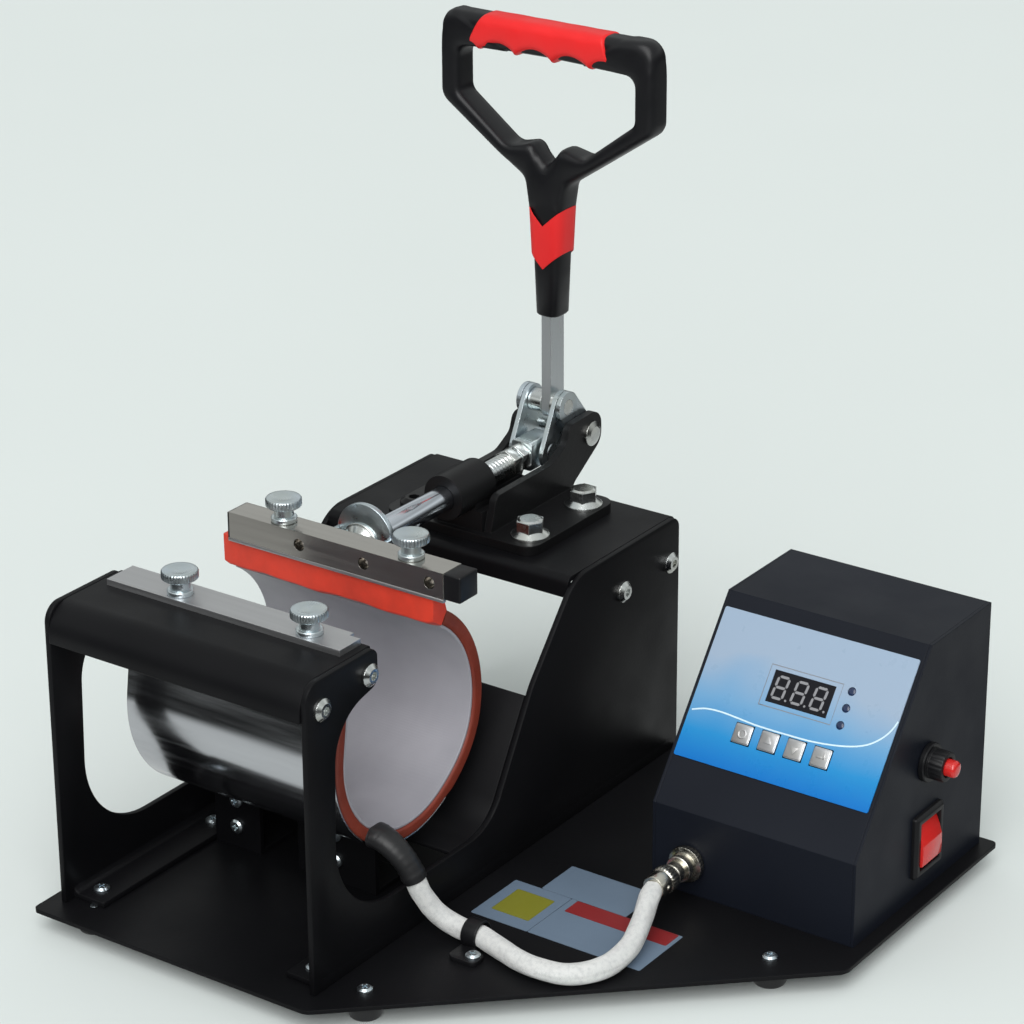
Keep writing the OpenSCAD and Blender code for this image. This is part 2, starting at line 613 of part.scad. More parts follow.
module lever_pin() color("#c2c6c8") place() at_yz(pivot_h) {
    bar_along_x(-fork_in - side_t, fork_in + side_t, m8);
    bar_along_x(0.3 - link_in, bar_mid_x - bar_x / 2, 6);
    bar_along_x(bar_mid_x + bar_x / 2, link_in - 0.3, 6);
}
module link_plates() color("#c6cacc") place() {
    difference() {
        for (s = [0, 1]) mirror([s, 0, 0])
            along_x(link_in, link_in + side_t) link_outline(pivot_h, pivot_p, link_r, link_r + 0.6);
        at_yz(pivot_h) bar_along_x(-20, 20, m8 + run);
    }
    for (s = [0, 1]) mirror([s, 0, 0]) at_yz(pivot_p)
        translate([link_in + side_t, 0, 0]) rotate([0, 90, 0]) cylinder(h = 0.4, r1 = 5, r2 = 4.5);
}

// Handle: a D grip on a tapering neck, around the lever bar

neck_low = pivot_h[1] + 47.5;
band_low = pivot_h[1] + 70.5;
band_high = pivot_h[1] + 98.5;
grip_low = pivot_h[1] + 104;
grip_top = pivot_h[1] + lever_l;
grip_half = 62.3;
grip_depth = 16;
grip_bar = 11.5;            // width of the two uprights of the D
sleeve_over = 0.8;          // how far the red sleeve stands proud
module grip_outer() polygon(rounded([
    [-9.5, grip_low, 0], [9.5, grip_low, 0], [12, grip_low + 12, 9],
    [grip_half, grip_low + 46.5, 8], [grip_half, grip_top, 9],
    [-grip_half, grip_top, 9], [-grip_half, grip_low + 46.5, 8], [-12, grip_low + 12, 9]]));
// Half of the opening: a notch in the middle, a hump, the sloping side and the upright
hole_half = grip_half - grip_bar;
hole_top = grip_top - 17.5;
hole_right = [[9, grip_low + 31, 4], [22, grip_low + 27.5, 8],
    [hole_half, grip_low + 49.5, 6], [hole_half, hole_top, 6]];
module grip_hole() polygon(rounded(concat([[0, grip_low + 20.5, 2]], hole_right,
    reversed([for (p = hole_right) [-p[0], p[1], p[2]]]))));
module neck(low, high, w0, w1, d0, d1) hull() {
    translate([-w0 / 2, -d0 / 2, low]) cube([w0, d0, 0.1]);
    translate([-w1 / 2, -d1 / 2, high - 0.1]) cube([w1, d1, 0.1]);
}
module on_bar() place() translate([bar_mid_x, bar_mid_y, 0]) children();
module sleeve(over) along_y(-grip_depth / 2 - over, grip_depth / 2 + over) polygon([
    [-47, hole_top - 0.5], [39, hole_top - 0.5], [34, grip_top + over], [-37, grip_top + over]]);
module handle_body() color("#17171a") on_bar() difference() {
    union() {
        along_y(-grip_depth / 2, grip_depth / 2) difference() {
            grip_outer();
            grip_hole();
        }
        neck(neck_low, band_low, 14.6, 17, 15, 16);
        neck(band_low, band_high, 14.6, 17.5, 14, 15);
        neck(band_high, grip_low + 2, 19, 19, 16, 16);
    }
    sleeve(3);
    translate([-bar_x / 2, -bar_y / 2, 0]) cube([bar_x, bar_y, bar_top]);
}
module grip_sleeve() color("#cf2a2c") on_bar() intersection() {
    sleeve(sleeve_over);
    slab([-grip_half, -grip_depth, hole_top], [grip_half, grip_depth, grip_top]);
}
module handle_band() color("#cf2a2c") on_bar() difference() {
    neck(band_low, band_high, 17.8, 21, 17, 18.5);
    neck(band_low - 0.01, band_high + 0.01, 14.6, 17.5, 14, 15);
}

// Push rod and moving jaw

rod_front = 22;
thread_start = guide_rear + 2;
nut_front = 135.5;
clevis_front = 150;
clevis_rear = 169;
thread_r = 5;
module push_rod() color("#c9cdd0") place() difference() {
    translate([0, 0, axis_z]) union() {
        bar_along_y(rod_front, thread_start, rod_d / 2);
        bar_along_y(thread_start, clevis_front + 2, thread_r);
        for (y = [thread_start + 1.5 : 2.5 : nut_front - 2]) bar_along_y(y, y + 1.3, thread_r + 0.9);
        slab([-6.3, clevis_front, -7.5], [6.3, clevis_rear, 7.5]);
    }
    at_yz(pivot_p) bar_along_x(-10, 10, m8);
    translate([0, 0, axis_z]) bar_along_y(rod_front - cut, rod_front + 20, m8);
}
module jam_nuts() color("#bcc2c4") place() translate([0, 0, axis_z]) for (y = [nut_front, nut_front + 7.5])
    translate([0, y, 0]) rotate([-90, 30, 0]) difference() {
        cylinder(h = nut_h, r = 7.5, $fn = 6);
        translate([0, 0, -cut]) cylinder(h = nut_h + 2 * cut, r = thread_r);
    }

jaw_plate_t = 3;
tab_left = -14;
tab_right = 18;
tab_low = axis_z - 9;
cheek_t = 2.5;
lip_t = 1.5;
module jaw_bracket() color("#c0c6c9") place() difference() {
    union() {
        along_y(rod_front - jaw_plate_t, rod_front) polygon(rounded([
            [tab_left, tab_low, 3], [tab_right, tab_low, 3],
            [tab_right, axis_z + 20, 15.9], [tab_left, axis_z + 20, 15.9]]));
        for (x = [tab_left, tab_right - cheek_t])
            slab([x, jaw_rear, tab_low + 2], [x + cheek_t, rod_front, axis_z + 6]);
        slab([jaw_left, jaw_front, jaw_low - lip_t], [jaw_right, jaw_front + 2, jaw_low]);
    }
    translate([0, 0, axis_z]) bar_along_y(0, 30, m8);
}
module jaw_bolt() color("#c4c7c6") place() translate([0, rod_front - jaw_plate_t, axis_z]) rotate([90, 0, 0])
    flange_bolt(bolt_flange, bolt_hex, m8, 20);

jaw_hole_x = [-14, 23.5, 61];
module jaw_bar() color("#8d9092") place() difference() {
    union() {
        slab([jaw_left, jaw_front, jaw_low], [jaw_right, jaw_rear, jaw_top]);
        slab([jaw_right, jaw_front + 0.3, jaw_low + 0.3], [jaw_right + 9, jaw_rear - 0.3, jaw_top - 0.3]);
    }
    for (x = jaw_hole_x) translate([x, 0, jaw_low + 6.5]) bar_along_y(jaw_front - cut, jaw_front + 6, m6);
    for (x = screw_x) translate([x, rear_screw_y, jaw_low - cut]) cylinder(h = 20, r = m6_hole);
}
strip_half = heater_l / 2 + 0.5;
module jaw_strip() color("#c8452c") place() along_x(-strip_half, strip_half) polygon([
    [jaw_front + 2, jaw_low - 15], [jaw_front + 2, jaw_low], [jaw_front + 9.5, jaw_low],
    bulged(heater_r, rear_angle) + tangent_up(rear_angle, tail_gap),
    bulged(heater_r - band_t, rear_angle) + tangent_up(rear_angle, tail_gap)]);

base_plate();
rubber_feet();
base_screws();
left_side_plate();
right_side_plate();
flange_screws();
front_cover();
frame_bolts();
clamp_strip();
thumb_screw_front_left();
thumb_screw_front_right();
thumb_screw_rear_left();
thumb_screw_rear_right();
rear_shelf();
cradle_panel();
heater_sheath();
heater_pad();
heater_liner();
heater_tail();
heater_brackets();
bracket_screws();
cable_boot();
heater_cable();
p_clip();
cable_plug();
panel_socket();
box_wrap();
box_sides();
overlay_panel();
display_window();
led_lenses();
key_set();
key_up();
key_down();
key_enter();
breaker_body();
reset_button();
rocker_frame();
rocker();
mains_inlet();
circuit_board();
transformer();
info_labels();
clamp_base();
clamp_bolts();
clamp_screws();
pivot_pin();
lever_plates();
lever_bar();
lever_pin();
handle_body();
grip_sleeve();
handle_band();
link_plates();
push_rod();
jam_nuts();
jaw_bracket();
jaw_bolt();
jaw_bar();
jaw_strip();
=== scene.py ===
import bpy, bmesh, json, math
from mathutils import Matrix, Quaternion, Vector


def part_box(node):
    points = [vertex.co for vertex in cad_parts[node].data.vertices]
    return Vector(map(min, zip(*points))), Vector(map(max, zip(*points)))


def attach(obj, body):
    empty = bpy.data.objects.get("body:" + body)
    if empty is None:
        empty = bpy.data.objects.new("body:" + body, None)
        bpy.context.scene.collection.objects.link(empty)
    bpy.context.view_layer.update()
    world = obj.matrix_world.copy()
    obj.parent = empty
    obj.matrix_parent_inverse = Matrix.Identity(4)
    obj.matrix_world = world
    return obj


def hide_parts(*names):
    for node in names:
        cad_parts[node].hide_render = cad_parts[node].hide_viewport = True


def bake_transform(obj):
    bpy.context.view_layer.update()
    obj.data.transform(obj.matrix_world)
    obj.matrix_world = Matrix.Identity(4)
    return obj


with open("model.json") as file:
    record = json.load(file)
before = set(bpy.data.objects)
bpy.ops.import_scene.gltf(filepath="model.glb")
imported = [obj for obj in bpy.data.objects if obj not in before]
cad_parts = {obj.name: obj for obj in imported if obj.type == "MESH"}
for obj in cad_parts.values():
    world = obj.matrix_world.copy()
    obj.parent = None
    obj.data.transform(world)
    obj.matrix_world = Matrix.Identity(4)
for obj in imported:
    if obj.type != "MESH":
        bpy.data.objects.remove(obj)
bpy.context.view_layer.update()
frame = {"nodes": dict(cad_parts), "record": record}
MM = 0.001
# Every length below is in millimetres from the drawing's origin, which lies 82 mm right of the base
# plate's left edge, 130 mm behind its front edge and on its top face
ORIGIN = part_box("base_plate")[0] + Vector((82, 130, 2)) * MM
SIDE_IN, SIDE_OUT = 72, 75              # the two faces of a side plate, right and left alike
COVER_TOP = 152                         # top face of the front cover
HEAT_Y, HEAT_Z = -27, 90                # centre line of the horseshoe heater
ROD_Z = 151.5                           # height of the push rod
JAW_FRONT, JAW_REAR, JAW_LOW, JAW_TOP = -10, 4, 151, 164
SCREW_X = (-28, 46)                     # thumb screws, on the fixed and on the moving jaw
BOX_RIGHT = 250.5                       # right-hand face of the control box
KEY_X, KEY_S = (33, 47, 61, 75), 42     # keys, across the sloping front and up it
LED_X, LED_S = 78.6, (58.9, 67.2, 75.4)
DIGIT_X, DIGIT_S = (43.4, 53.6, 63.8), 67.8
GRIP_X, GRIP_Y = 2.6, 173.5             # centre of the handle
GRIP_LOW, GRIP_TOP, GRIP_HALF = 277, 368, 62.3
# Grey of the studio by height, from straight below (0) through the horizon (0.5) to straight above (1)
SKY = ((0.0, 0.5), (0.16, 0.75), (0.32, 0.75), (0.352, 0.02), (0.5, 0.03), (0.6, 0.4), (0.69, 1.1),
       (0.79, 0.6), (1.0, 1.0))


def at(p):
    return ORIGIN + Vector(p) * MM


# ---------------------------------------------------------------- camera, light and floor

def camera():
    az, el, roll = math.radians(34.72), math.radians(22.20), math.radians(-0.107)
    back = Vector((math.sin(az) * math.cos(el), -math.cos(az) * math.cos(el), math.sin(el)))
    data = bpy.data.cameras.new("camera")
    data.sensor_width, data.lens = 36, 121.5281
    data.shift_x, data.shift_y = -0.032285, -0.061738
    data.clip_start, data.clip_end = 0.05, 60
    cam = bpy.data.objects.new("camera", data)
    bpy.context.scene.collection.objects.link(cam)
    cam.location = at((915.475, -1150.747, 804.149))
    cam.rotation_mode = "QUATERNION"
    cam.rotation_quaternion = (-back).to_track_quat("-Z", "Y") @ Quaternion((0, 0, 1), roll)
    bpy.context.scene.camera = cam


def area(name, place, target, size, power):
    data = bpy.data.lights.new(name, "AREA")
    data.shape, data.size, data.energy = "SQUARE", size, power
    light = bpy.data.objects.new(name, data)
    bpy.context.scene.collection.objects.link(light)
    light.location = place
    light.rotation_mode = "QUATERNION"
    light.rotation_quaternion = (Vector(target) - Vector(place)).to_track_quat("-Z", "Y")


def studio():
    """A pale studio that is dark near the horizon, so that bright metal shows hard edges."""
    scene = bpy.context.scene
    scene.view_settings.view_transform = "Standard"
    world = bpy.data.worlds.new("studio")
    scene.world = world
    world.use_nodes = True
    tree = world.node_tree
    back = tree.nodes["Background"]
    coord = tree.nodes.new("ShaderNodeTexCoord")
    split = tree.nodes.new("ShaderNodeSeparateXYZ")
    ramp = tree.nodes.new("ShaderNodeValToRGB")
    shift = tree.nodes.new("ShaderNodeMapRange")
    shift.inputs["From Min"].default_value = -1
    tree.links.new(coord.outputs["Generated"], split.inputs["Vector"])
    tree.links.new(split.outputs["Z"], shift.inputs["Value"])
    tree.links.new(shift.outputs["Result"], ramp.inputs["Fac"])
    tree.links.new(ramp.outputs["Color"], back.inputs["Color"])
    e = ramp.color_ramp.elements
    while len(e) < len(SKY):
        e.new(0.5)
    for k, (place, grey) in enumerate(SKY):
        e[k].position, e[k].color = place, (grey * 0.96, grey, grey * 0.99, 1)
    back.inputs["Strength"].default_value = 0.75
    sun = bpy.data.lights.new("key", "SUN")
    sun.energy, sun.angle = 1.75, math.radians(50)
    light = bpy.data.objects.new("key", sun)
    scene.collection.objects.link(light)
    light.rotation_mode = "QUATERNION"
    light.rotation_quaternion = Vector((-0.35, 0.75, -1.0)).to_track_quat("-Z", "Y")
    area("fill", (1.6, -2.6, 1.5), (0.05, 0, 0.15), 1.6, 24)
    bm = bmesh.new()
    bmesh.ops.create_grid(bm, x_segments=8, y_segments=8, size=14)
    data = bpy.data.meshes.new("floor")
    bm.to_mesh(data)
    bm.free()
    floor = bpy.data.objects.new("floor", data)
    scene.collection.objects.link(floor)
    data.materials.append(FLOOR)
    floor.visible_glossy = False


# ---------------------------------------------------------------- material nodes

class Shader:
    """A Principled material with short calls for the nodes that feed it."""

    def __init__(self, name, colour, rough, metallic=0.0, **sockets):
        self.m = bpy.data.materials.new(name)
        self.m.use_nodes = True
        self.t = self.m.node_tree
        self.bsdf = self.t.nodes["Principled BSDF"]
        self.set("Base Color", (*colour, 1))
        self.set("Roughness", rough)
        self.set("Metallic", metallic)
        for key, value in sockets.items():
            self.set(key.replace("_", " "), value)
        self.m.diffuse_color = (*colour, 1)

    def set(self, socket, value):
        self.bsdf.inputs[socket].default_value = value

    def link(self, a, socket):
        self.t.links.new(a, self.bsdf.inputs[socket])

    def node(self, kind, links=None, **values):
        n = self.t.nodes.new(kind)
        for key, value in values.items():
            if key in n.inputs:
                n.inputs[key].default_value = value
            else:
                setattr(n, key, value)
        for key, source in (links or {}).items():
            self.t.links.new(source, n.inputs[key])
        return n

    def coords(self, stretch=(1, 1, 1), turn=(0, 0, 0), kind="Object"):
        c = self.node("ShaderNodeTexCoord")
        m = self.node("ShaderNodeMapping", {"Vector": c.outputs[kind]})
        m.inputs["Scale"].default_value = stretch
        m.inputs["Rotation"].default_value = turn
        return m.outputs["Vector"]

    def noise(self, scale, detail=3.0, vector=None):
        n = self.node("ShaderNodeTexNoise", {"Vector": vector or self.coords()}, Scale=scale, Detail=detail)
        n.inputs["Roughness"].default_value = 0.55
        return n.outputs["Fac"]

    def ramp(self, source, stops):
        r = self.node("ShaderNodeValToRGB", {"Fac": source})
        e = r.color_ramp.elements
        while len(e) < len(stops):
            e.new(0.5)
        for k, (pos, colour) in enumerate(stops):
            e[k].position, e[k].color = pos, (*colour, 1) if len(colour) == 3 else colour
        return r.outputs["Color"]

    def spread(self, source, low, high, start=0.3, end=0.7):
        r = self.node("ShaderNodeMapRange", {"Value": source})
        for key, value in (("From Min", start), ("From Max", end), ("To Min", low), ("To Max", high)):
            r.inputs[key].default_value = value
        return r.outputs["Result"]

    def bump(self, source, strength, distance, under=None):
        b = self.node("ShaderNodeBump", {"Height": source}, Strength=strength, Distance=distance * MM)
        if under:
            self.t.links.new(under, b.inputs["Normal"])
        return b.outputs["Normal"]

    def edges(self, radius):
        b = self.node("ShaderNodeBevel", samples=4)
        b.inputs["Radius"].default_value = radius * MM
        return b.outputs["Normal"]


def painted(name, colour, rough, grain=900, strength=0.25, vary=0.35, shine=0.13):
    """Satin powder coat: a fine orange peel, slow changes in gloss and softly lit folds."""
    s = Shader(name, colour, rough, Specular_IOR_Level=shine)
    slow = s.noise(9, 2)
    lift = [min(1, c * (1 + vary) + 0.002) for c in colour]
    s.link(s.ramp(slow, [(0.3, colour), (0.7, lift)]), "Base Color")
    s.link(s.spread(s.noise(26, 4), rough - 0.05, rough + 0.07), "Roughness")
    s.link(s.bump(s.noise(grain, 2), strength, 0.12, s.edges(0.6)), "Normal")
    return s.m


def plated(name, colour, rough, edge=0.35):
    """Zinc or nickel plate: faint warm and cool clouds over fine pitting."""
    s = Shader(name, colour, rough, 1.0)
    cloud = s.noise(60, 4)
    tint = [c * w for c, w in zip(colour, (1.0, 0.97, 0.9))]
    s.link(s.ramp(cloud, [(0.35, tint), (0.65, colour)]), "Base Color")
    s.link(s.spread(s.noise(140, 5), rough - 0.06, rough + 0.12), "Roughness")
    s.link(s.bump(s.noise(700, 3), 0.12, 0.05, s.edges(edge)), "Normal")
    return s.m


def brushed(name, colour, rough, stretch, strength=0.15):
    """Rolled or brushed metal with fine lines along one direction."""
    s = Shader(name, colour, rough, 1.0)
    lines = s.noise(6, 3, s.coords(stretch))
    s.link(s.ramp(lines, [(0.3, [c * 0.9 for c in colour]), (0.7, colour)]), "Base Color")
    s.link(s.spread(lines, rough - 0.05, rough + 0.08), "Roughness")
    s.link(s.bump(lines, strength, 0.03, s.edges(0.3)), "Normal")
    return s.m


def moulded(name, colour, rough, grain=1400, strength=0.15, **more):
    """Moulded plastic or rubber with a fine spark-eroded grain."""
    s = Shader(name, colour, rough, **more)
    lift = [min(1, c * 1.18 + 0.002) for c in colour]
    s.link(s.ramp(s.noise(14, 3), [(0.3, colour), (0.7, lift)]), "Base Color")
    s.link(s.spread(s.noise(90, 3), rough - 0.05, rough + 0.08), "Roughness")
    s.link(s.bump(s.noise(grain, 2), strength, 0.08, s.edges(0.4)), "Normal")
    return s.m


def silicone(name, colour):
    """Glass-reinforced silicone rubber: a fabric shows faintly through it."""
    s = Shader(name, colour, 0.5, Subsurface_Weight=0.05)
    s.set("Subsurface Radius", (0.004, 0.001, 0.0005))
    dark = [c * 0.72 for c in colour]
    s.link(s.ramp(s.noise(45, 5), [(0.3, dark), (0.62, colour)]), "Base Color")
    a = s.node("ShaderNodeTexWave", {"Vector": s.coords()}, Scale=420, bands_direction="X")
    b = s.node("ShaderNodeTexWave", {"Vector": s.coords()}, Scale=420, bands_direction="Z")
    mix = s.node("ShaderNodeMath", {0: a.outputs["Fac"], 1: b.outputs["Fac"]}, operation="MULTIPLY")
    s.link(s.spread(s.noise(200, 3), 0.42, 0.62), "Roughness")
    s.link(s.bump(mix.outputs[0], 0.25, 0.1, s.edges(0.5)), "Normal")
    return s.m


def liner():
    """Pale non-stick glass cloth: fine square weave, slightly polished and mottled by use."""
    s = Shader("liner_cloth", (0.32, 0.31, 0.345), 0.46)
    s.link(s.ramp(s.noise(16, 4), [(0.28, (0.28, 0.275, 0.305)), (0.7, (0.375, 0.365, 0.40))]), "Base Color")
    a = s.node("ShaderNodeTexWave", {"Vector": s.coords()}, Scale=300, bands_direction="X")
    b = s.node("ShaderNodeTexWave", {"Vector": s.coords()}, Scale=300, bands_direction="Z")
    mix = s.node("ShaderNodeMath", {0: a.outputs["Fac"], 1: b.outputs["Fac"]}, operation="ADD")
    s.link(s.bump(mix.outputs[0], 0.18, 0.06), "Normal")
    s.link(s.spread(s.noise(60, 4), 0.34, 0.5), "Roughness")
    return s.m


def braid():
    """White glass-fibre sleeving: crossed strands, with the shade between them."""
    s = Shader("sleeve_braid", (0.78, 0.78, 0.76), 0.75, Sheen_Weight=0.25)
    waves = []
    for turn in (0.9, -0.9):
        v = s.coords((1, 1, 1), (0, 0, turn), "UV")
        waves.append(s.node("ShaderNodeTexWave", {"Vector": v}, Scale=7.0, Distortion=0.6).outputs["Fac"])
    mix = s.node("ShaderNodeMath", {0: waves[0], 1: waves[1]}, operation="MAXIMUM")
    shade = s.node("ShaderNodeMath", {0: mix.outputs[0], 1: s.noise(500, 3)}, operation="MULTIPLY")
    s.link(s.ramp(shade.outputs[0], [(0.05, (0.52, 0.53, 0.53)), (0.5, (0.83, 0.83, 0.81))]), "Base Color")
    s.link(s.bump(mix.outputs[0], 0.55, 0.35), "Normal")
    return s.m


def overlay(name, stops):
    """Printed film whose colour runs up the slope of the box."""
    s = Shader(name, (0.2, 0.45, 0.75), 0.3, Specular_IOR_Level=0.3)
    c = s.node("ShaderNodeTexCoord")
    dot = s.node("ShaderNodeVectorMath", {0: c.outputs["Object"]}, operation="DOT_PRODUCT")
    dot.inputs[1].default_value = (0, COS, SIN)
    base = at(slope(0, 24, 0)).dot(Vector((0, COS, SIN)))
    top = at(slope(0, SLOPE_L - 8, 0)).dot(Vector((0, COS, SIN)))
    along = s.spread(dot.outputs["Value"], 0, 1, base, top)
    wobble = s.node("ShaderNodeMath", {0: s.noise(20, 2), 1: along}, operation="MULTIPLY_ADD")
    wobble.inputs[1].default_value = 0.04
    s.t.links.new(along, wobble.inputs[2])
    s.link(s.ramp(wobble.outputs[0], stops), "Base Color")
    s.link(s.spread(s.noise(120, 3), 0.26, 0.38), "Roughness")
    s.link(s.bump(s.noise(1200, 2), 0.08, 0.04), "Normal")
    return s.m


def floor_material():
    s = Shader("floor_paper", (0.71, 0.755, 0.74), 0.9)
    s.link(s.ramp(s.noise(3, 2), [(0.3, (0.705, 0.75, 0.735)), (0.7, (0.715, 0.76, 0.745))]), "Base Color")
    return s.m


# ---------------------------------------------------------------- mesh helpers

def rounded(points, step=5.0):
    """Corner points [a, b, radius] become a smooth outline."""
    out = []
    for i, p in enumerate(points):
        if p[2] <= 0:
            out.append((p[0], p[1]))
            continue
        here = Vector(p[:2])
        u = (Vector(points[i - 1][:2]) - here).normalized()
        v = (Vector(points[(i + 1) % len(points)][:2]) - here).normalized()
        half = math.acos(max(-1, min(1, u.dot(v)))) / 2
        d, c = p[2] / math.tan(half), here + (u + v).normalized() * p[2] / math.sin(half)
        s, e = here + u * d - c, here + v * d - c
        a0 = math.atan2(s.y, s.x)
        turn = math.atan2(e.y, e.x) - a0
        turn = turn - math.tau if turn > math.pi else turn + math.tau if turn < -math.pi else turn
        n = max(3, math.ceil(abs(math.degrees(turn)) / step))
        out += [(c.x + p[2] * math.cos(a0 + turn * k / n), c.y + p[2] * math.sin(a0 + turn * k / n))
                for k in range(n + 1)]
    return out


def prism(outline, axis, low, high):
    """An outline pushed along an axis: 'x' outlines are (Y, Z), 'y' are (X, Z), 'z' are (X, Y)."""
    put = {"x": lambda a, b, c: (c, a, b),
           "y": lambda a, b, c: (a, c, b),
           "z": lambda a, b, c: (a, b, c)}[axis]
    n = len(outline)
    verts = [put(a, b, low) for a, b in outline] + [put(a, b, high) for a, b in outline]
    faces = [(k, (k + 1) % n, n + (k + 1) % n, n + k) for k in range(n)]
    return verts, faces + [tuple(range(n))[::-1], tuple(range(n, 2 * n))]


def block(low, high):
    x0, y0, z0 = low
    x1, y1, z1 = high
    return prism([(x0, y0), (x1, y0), (x1, y1), (x0, y1)], "z", z0, z1)


def loft(rings, caps=True):
    n = len(rings[0])
    verts = [v for ring in rings for v in ring]
    faces = [(i * n + k, i * n + (k + 1) % n, (i + 1) * n + (k + 1) % n, (i + 1) * n + k)
             for i in range(len(rings) - 1) for k in range(n)]
    if caps:
        faces += [tuple(range(n))[::-1], tuple(range((len(rings) - 1) * n, len(rings) * n))]
    return verts, faces


def lathe(profile, axis, centre, n=48, wave=None):
    """A profile of (distance along the axis, radius) turned about it. wave(h, r, angle) may change r."""
    rings = []
    for h, r in profile:
        ring = []
        for k in range(n):
            a = math.tau * k / n
            q = max(0.02, wave(h, r, a) if wave else r)
            c, s = q * math.cos(a), q * math.sin(a)
            d = {"x": (h, c, s), "y": (c, h, -s), "z": (c, s, h)}[axis]
            ring.append(tuple(centre[i] + d[i] for i in range(3)))
        rings.append(ring)
    return loft(rings)


def merge(*parts):
    verts, faces = [], []
    for v, f in parts:
        faces += [tuple(i + len(verts) for i in face) for face in f]
        verts += v
    return verts, faces


def smooth_path(points, per=6):
    """Catmull-Rom points through a rough route."""
    p = [Vector(points[0]) * 2 - Vector(points[1])] + [Vector(q) for q in points]
    p.append(p[-1] * 2 - p[-2])
    out = []
    for i in range(1, len(p) - 2):
        a, b, c, d = p[i - 1], p[i], p[i + 1], p[i + 2]
        for k in range(per):
            t = k / per
            out.append(0.5 * (2 * b + (c - a) * t + (2 * a - 5 * b + 4 * c - d) * t * t
                              + (3 * b - 3 * c + d - a) * t ** 3))
    return out + [p[-2]]


def tube(path, radius, n=24):
    """Rings along a path that don't twist. radius(i, angle) is in millimetres."""
    rings, up = [], Vector((0, 0, 1))
    for i, p in enumerate(path):
        head = (path[min(i + 1, len(path) - 1)] - path[max(i - 1, 0)]).normalized()
        side = head.cross(up).normalized()
        up = side.cross(head)
        rings.append([tuple(p + (side * math.cos(a) + up * math.sin(a)) * radius(i, a))
                      for a in (math.tau * k / n for k in range(n))])
    return loft(rings)


def piece(name, body, material, shape, bevel=0.0, seg=2, smooth=38, replaces=(), blend=None,
          uv=None):
    """Makes an object of a shape in millimetres, softens its sharp edges and hangs it on a body."""
    data = bpy.data.meshes.new(name)
    data.from_pydata([at(v) for v in shape[0]], [], shape[1])
    bm = bmesh.new()
    bm.from_mesh(data)
    bmesh.ops.recalc_face_normals(bm, faces=bm.faces)
    if bevel:
        sharp = [e for e in bm.edges if len(e.link_faces) == 2 and e.calc_face_angle(0) > math.radians(28)]
        bmesh.ops.bevel(bm, geom=sharp, offset=bevel * MM, segments=seg, profile=0.5, affect="EDGES",
                        clamp_overlap=True)
    bm.to_mesh(data)
    bm.free()
    if uv:
        layer = data.uv_layers.new(name="UVMap")
        for loop in data.loops:
            layer.data[loop.index].uv = uv(loop.vertex_index)
    data.polygons.foreach_set("use_smooth", [True] * len(data.polygons))
    data.set_sharp_from_angle(angle=math.radians(smooth))
    data.materials.append(material)
    ob = bpy.data.objects.new(name, data)
    bpy.context.scene.collection.objects.link(ob)
    if blend:
        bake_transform(ob)
    else:
        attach(ob, body)
    if replaces:
        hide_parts(*replaces)
    return ob


# ---------------------------------------------------------------- the box's sloping front

BOX_X, BOX_Y, BEND_Z = 141.5, 54, 42.5
SLOPE_L = math.hypot(118 - BOX_Y, 127 - BEND_Z)
COS, SIN = (118 - BOX_Y) / SLOPE_L, (127 - BEND_Z) / SLOPE_L


def slope(x, s, h):
    return (BOX_X + x, BOX_Y + s * COS - h * SIN, BEND_Z + s * SIN + h * COS)


def on_slope(shape):
    return [slope(*v) for v in shape[0]], shape[1]


# ---------------------------------------------------------------- materials

FLOOR = floor_material()
BLACK = painted("powder_coat_black", (0.0038, 0.0038, 0.0046), 0.42)
BOX = painted("powder_coat_box", (0.0055, 0.0072, 0.0125), 0.46, vary=0.25, shine=0.19)
CAST = painted("cast_paint_black", (0.0045, 0.0045, 0.005), 0.38, grain=420, strength=0.4, shine=0.22)
ZINC = plated("zinc_plate", (0.64, 0.72, 0.78), 0.28)
BOLT = plated("bolt_plate", (0.66, 0.69, 0.70), 0.2)
STEEL = brushed("lever_steel", (0.80, 0.84, 0.86), 0.3, (40, 40, 2))
STRIP = brushed("strip_steel", (0.60, 0.60, 0.61), 0.42, (2, 60, 60))
BAR = brushed("bar_aluminium", (0.42, 0.40, 0.37), 0.17, (2, 60, 60))
SHEATH = brushed("sheath_stainless", (0.72, 0.74, 0.77), 0.16, (2, 40, 40), strength=0.08)
ROD = brushed("rod_chrome", (0.66, 0.70, 0.76), 0.13, (40, 2, 40), strength=0.06)
NICKEL = plated("nickel_plate", (0.62, 0.60, 0.54), 0.22)
PAD = silicone("silicone_pad", (0.215, 0.032, 0.016))
FLAP = silicone("silicone_flap", (0.76, 0.050, 0.022))
LINER = liner()
RUBBER = moulded("foot_rubber_black", (0.012, 0.012, 0.013), 0.6, 500, 0.3)
BOOT = moulded("boot_rubber", (0.009, 0.009, 0.010), 0.42, 600, 0.25)
BRAID = braid()
PLASTIC = moulded("plastic_black_grain", (0.005, 0.005, 0.006), 0.38, Specular_IOR_Level=0.3)
GRIP = moulded("grip_black_grain", (0.0045, 0.0045, 0.0058), 0.36, 800, 0.2, Specular_IOR_Level=0.35)
REDGRIP = moulded("grip_red_rubber", (0.70, 0.016, 0.017), 0.4, 800, 0.15, Specular_IOR_Level=0.3)
RED = moulded("plastic_red_gloss", (0.55, 0.014, 0.012), 0.2, 1500, 0.05, Coat_Weight=0.5,
              Subsurface_Weight=0.1)
GLASS = moulded("display_glass", (0.006, 0.006, 0.009), 0.14, 1500, 0.02, Specular_IOR_Level=0.3)
DIGIT = moulded("digit_grey", (0.24, 0.24, 0.255), 0.5)
LED = moulded("led_navy", (0.010, 0.022, 0.065), 0.2, Coat_Weight=0.4)
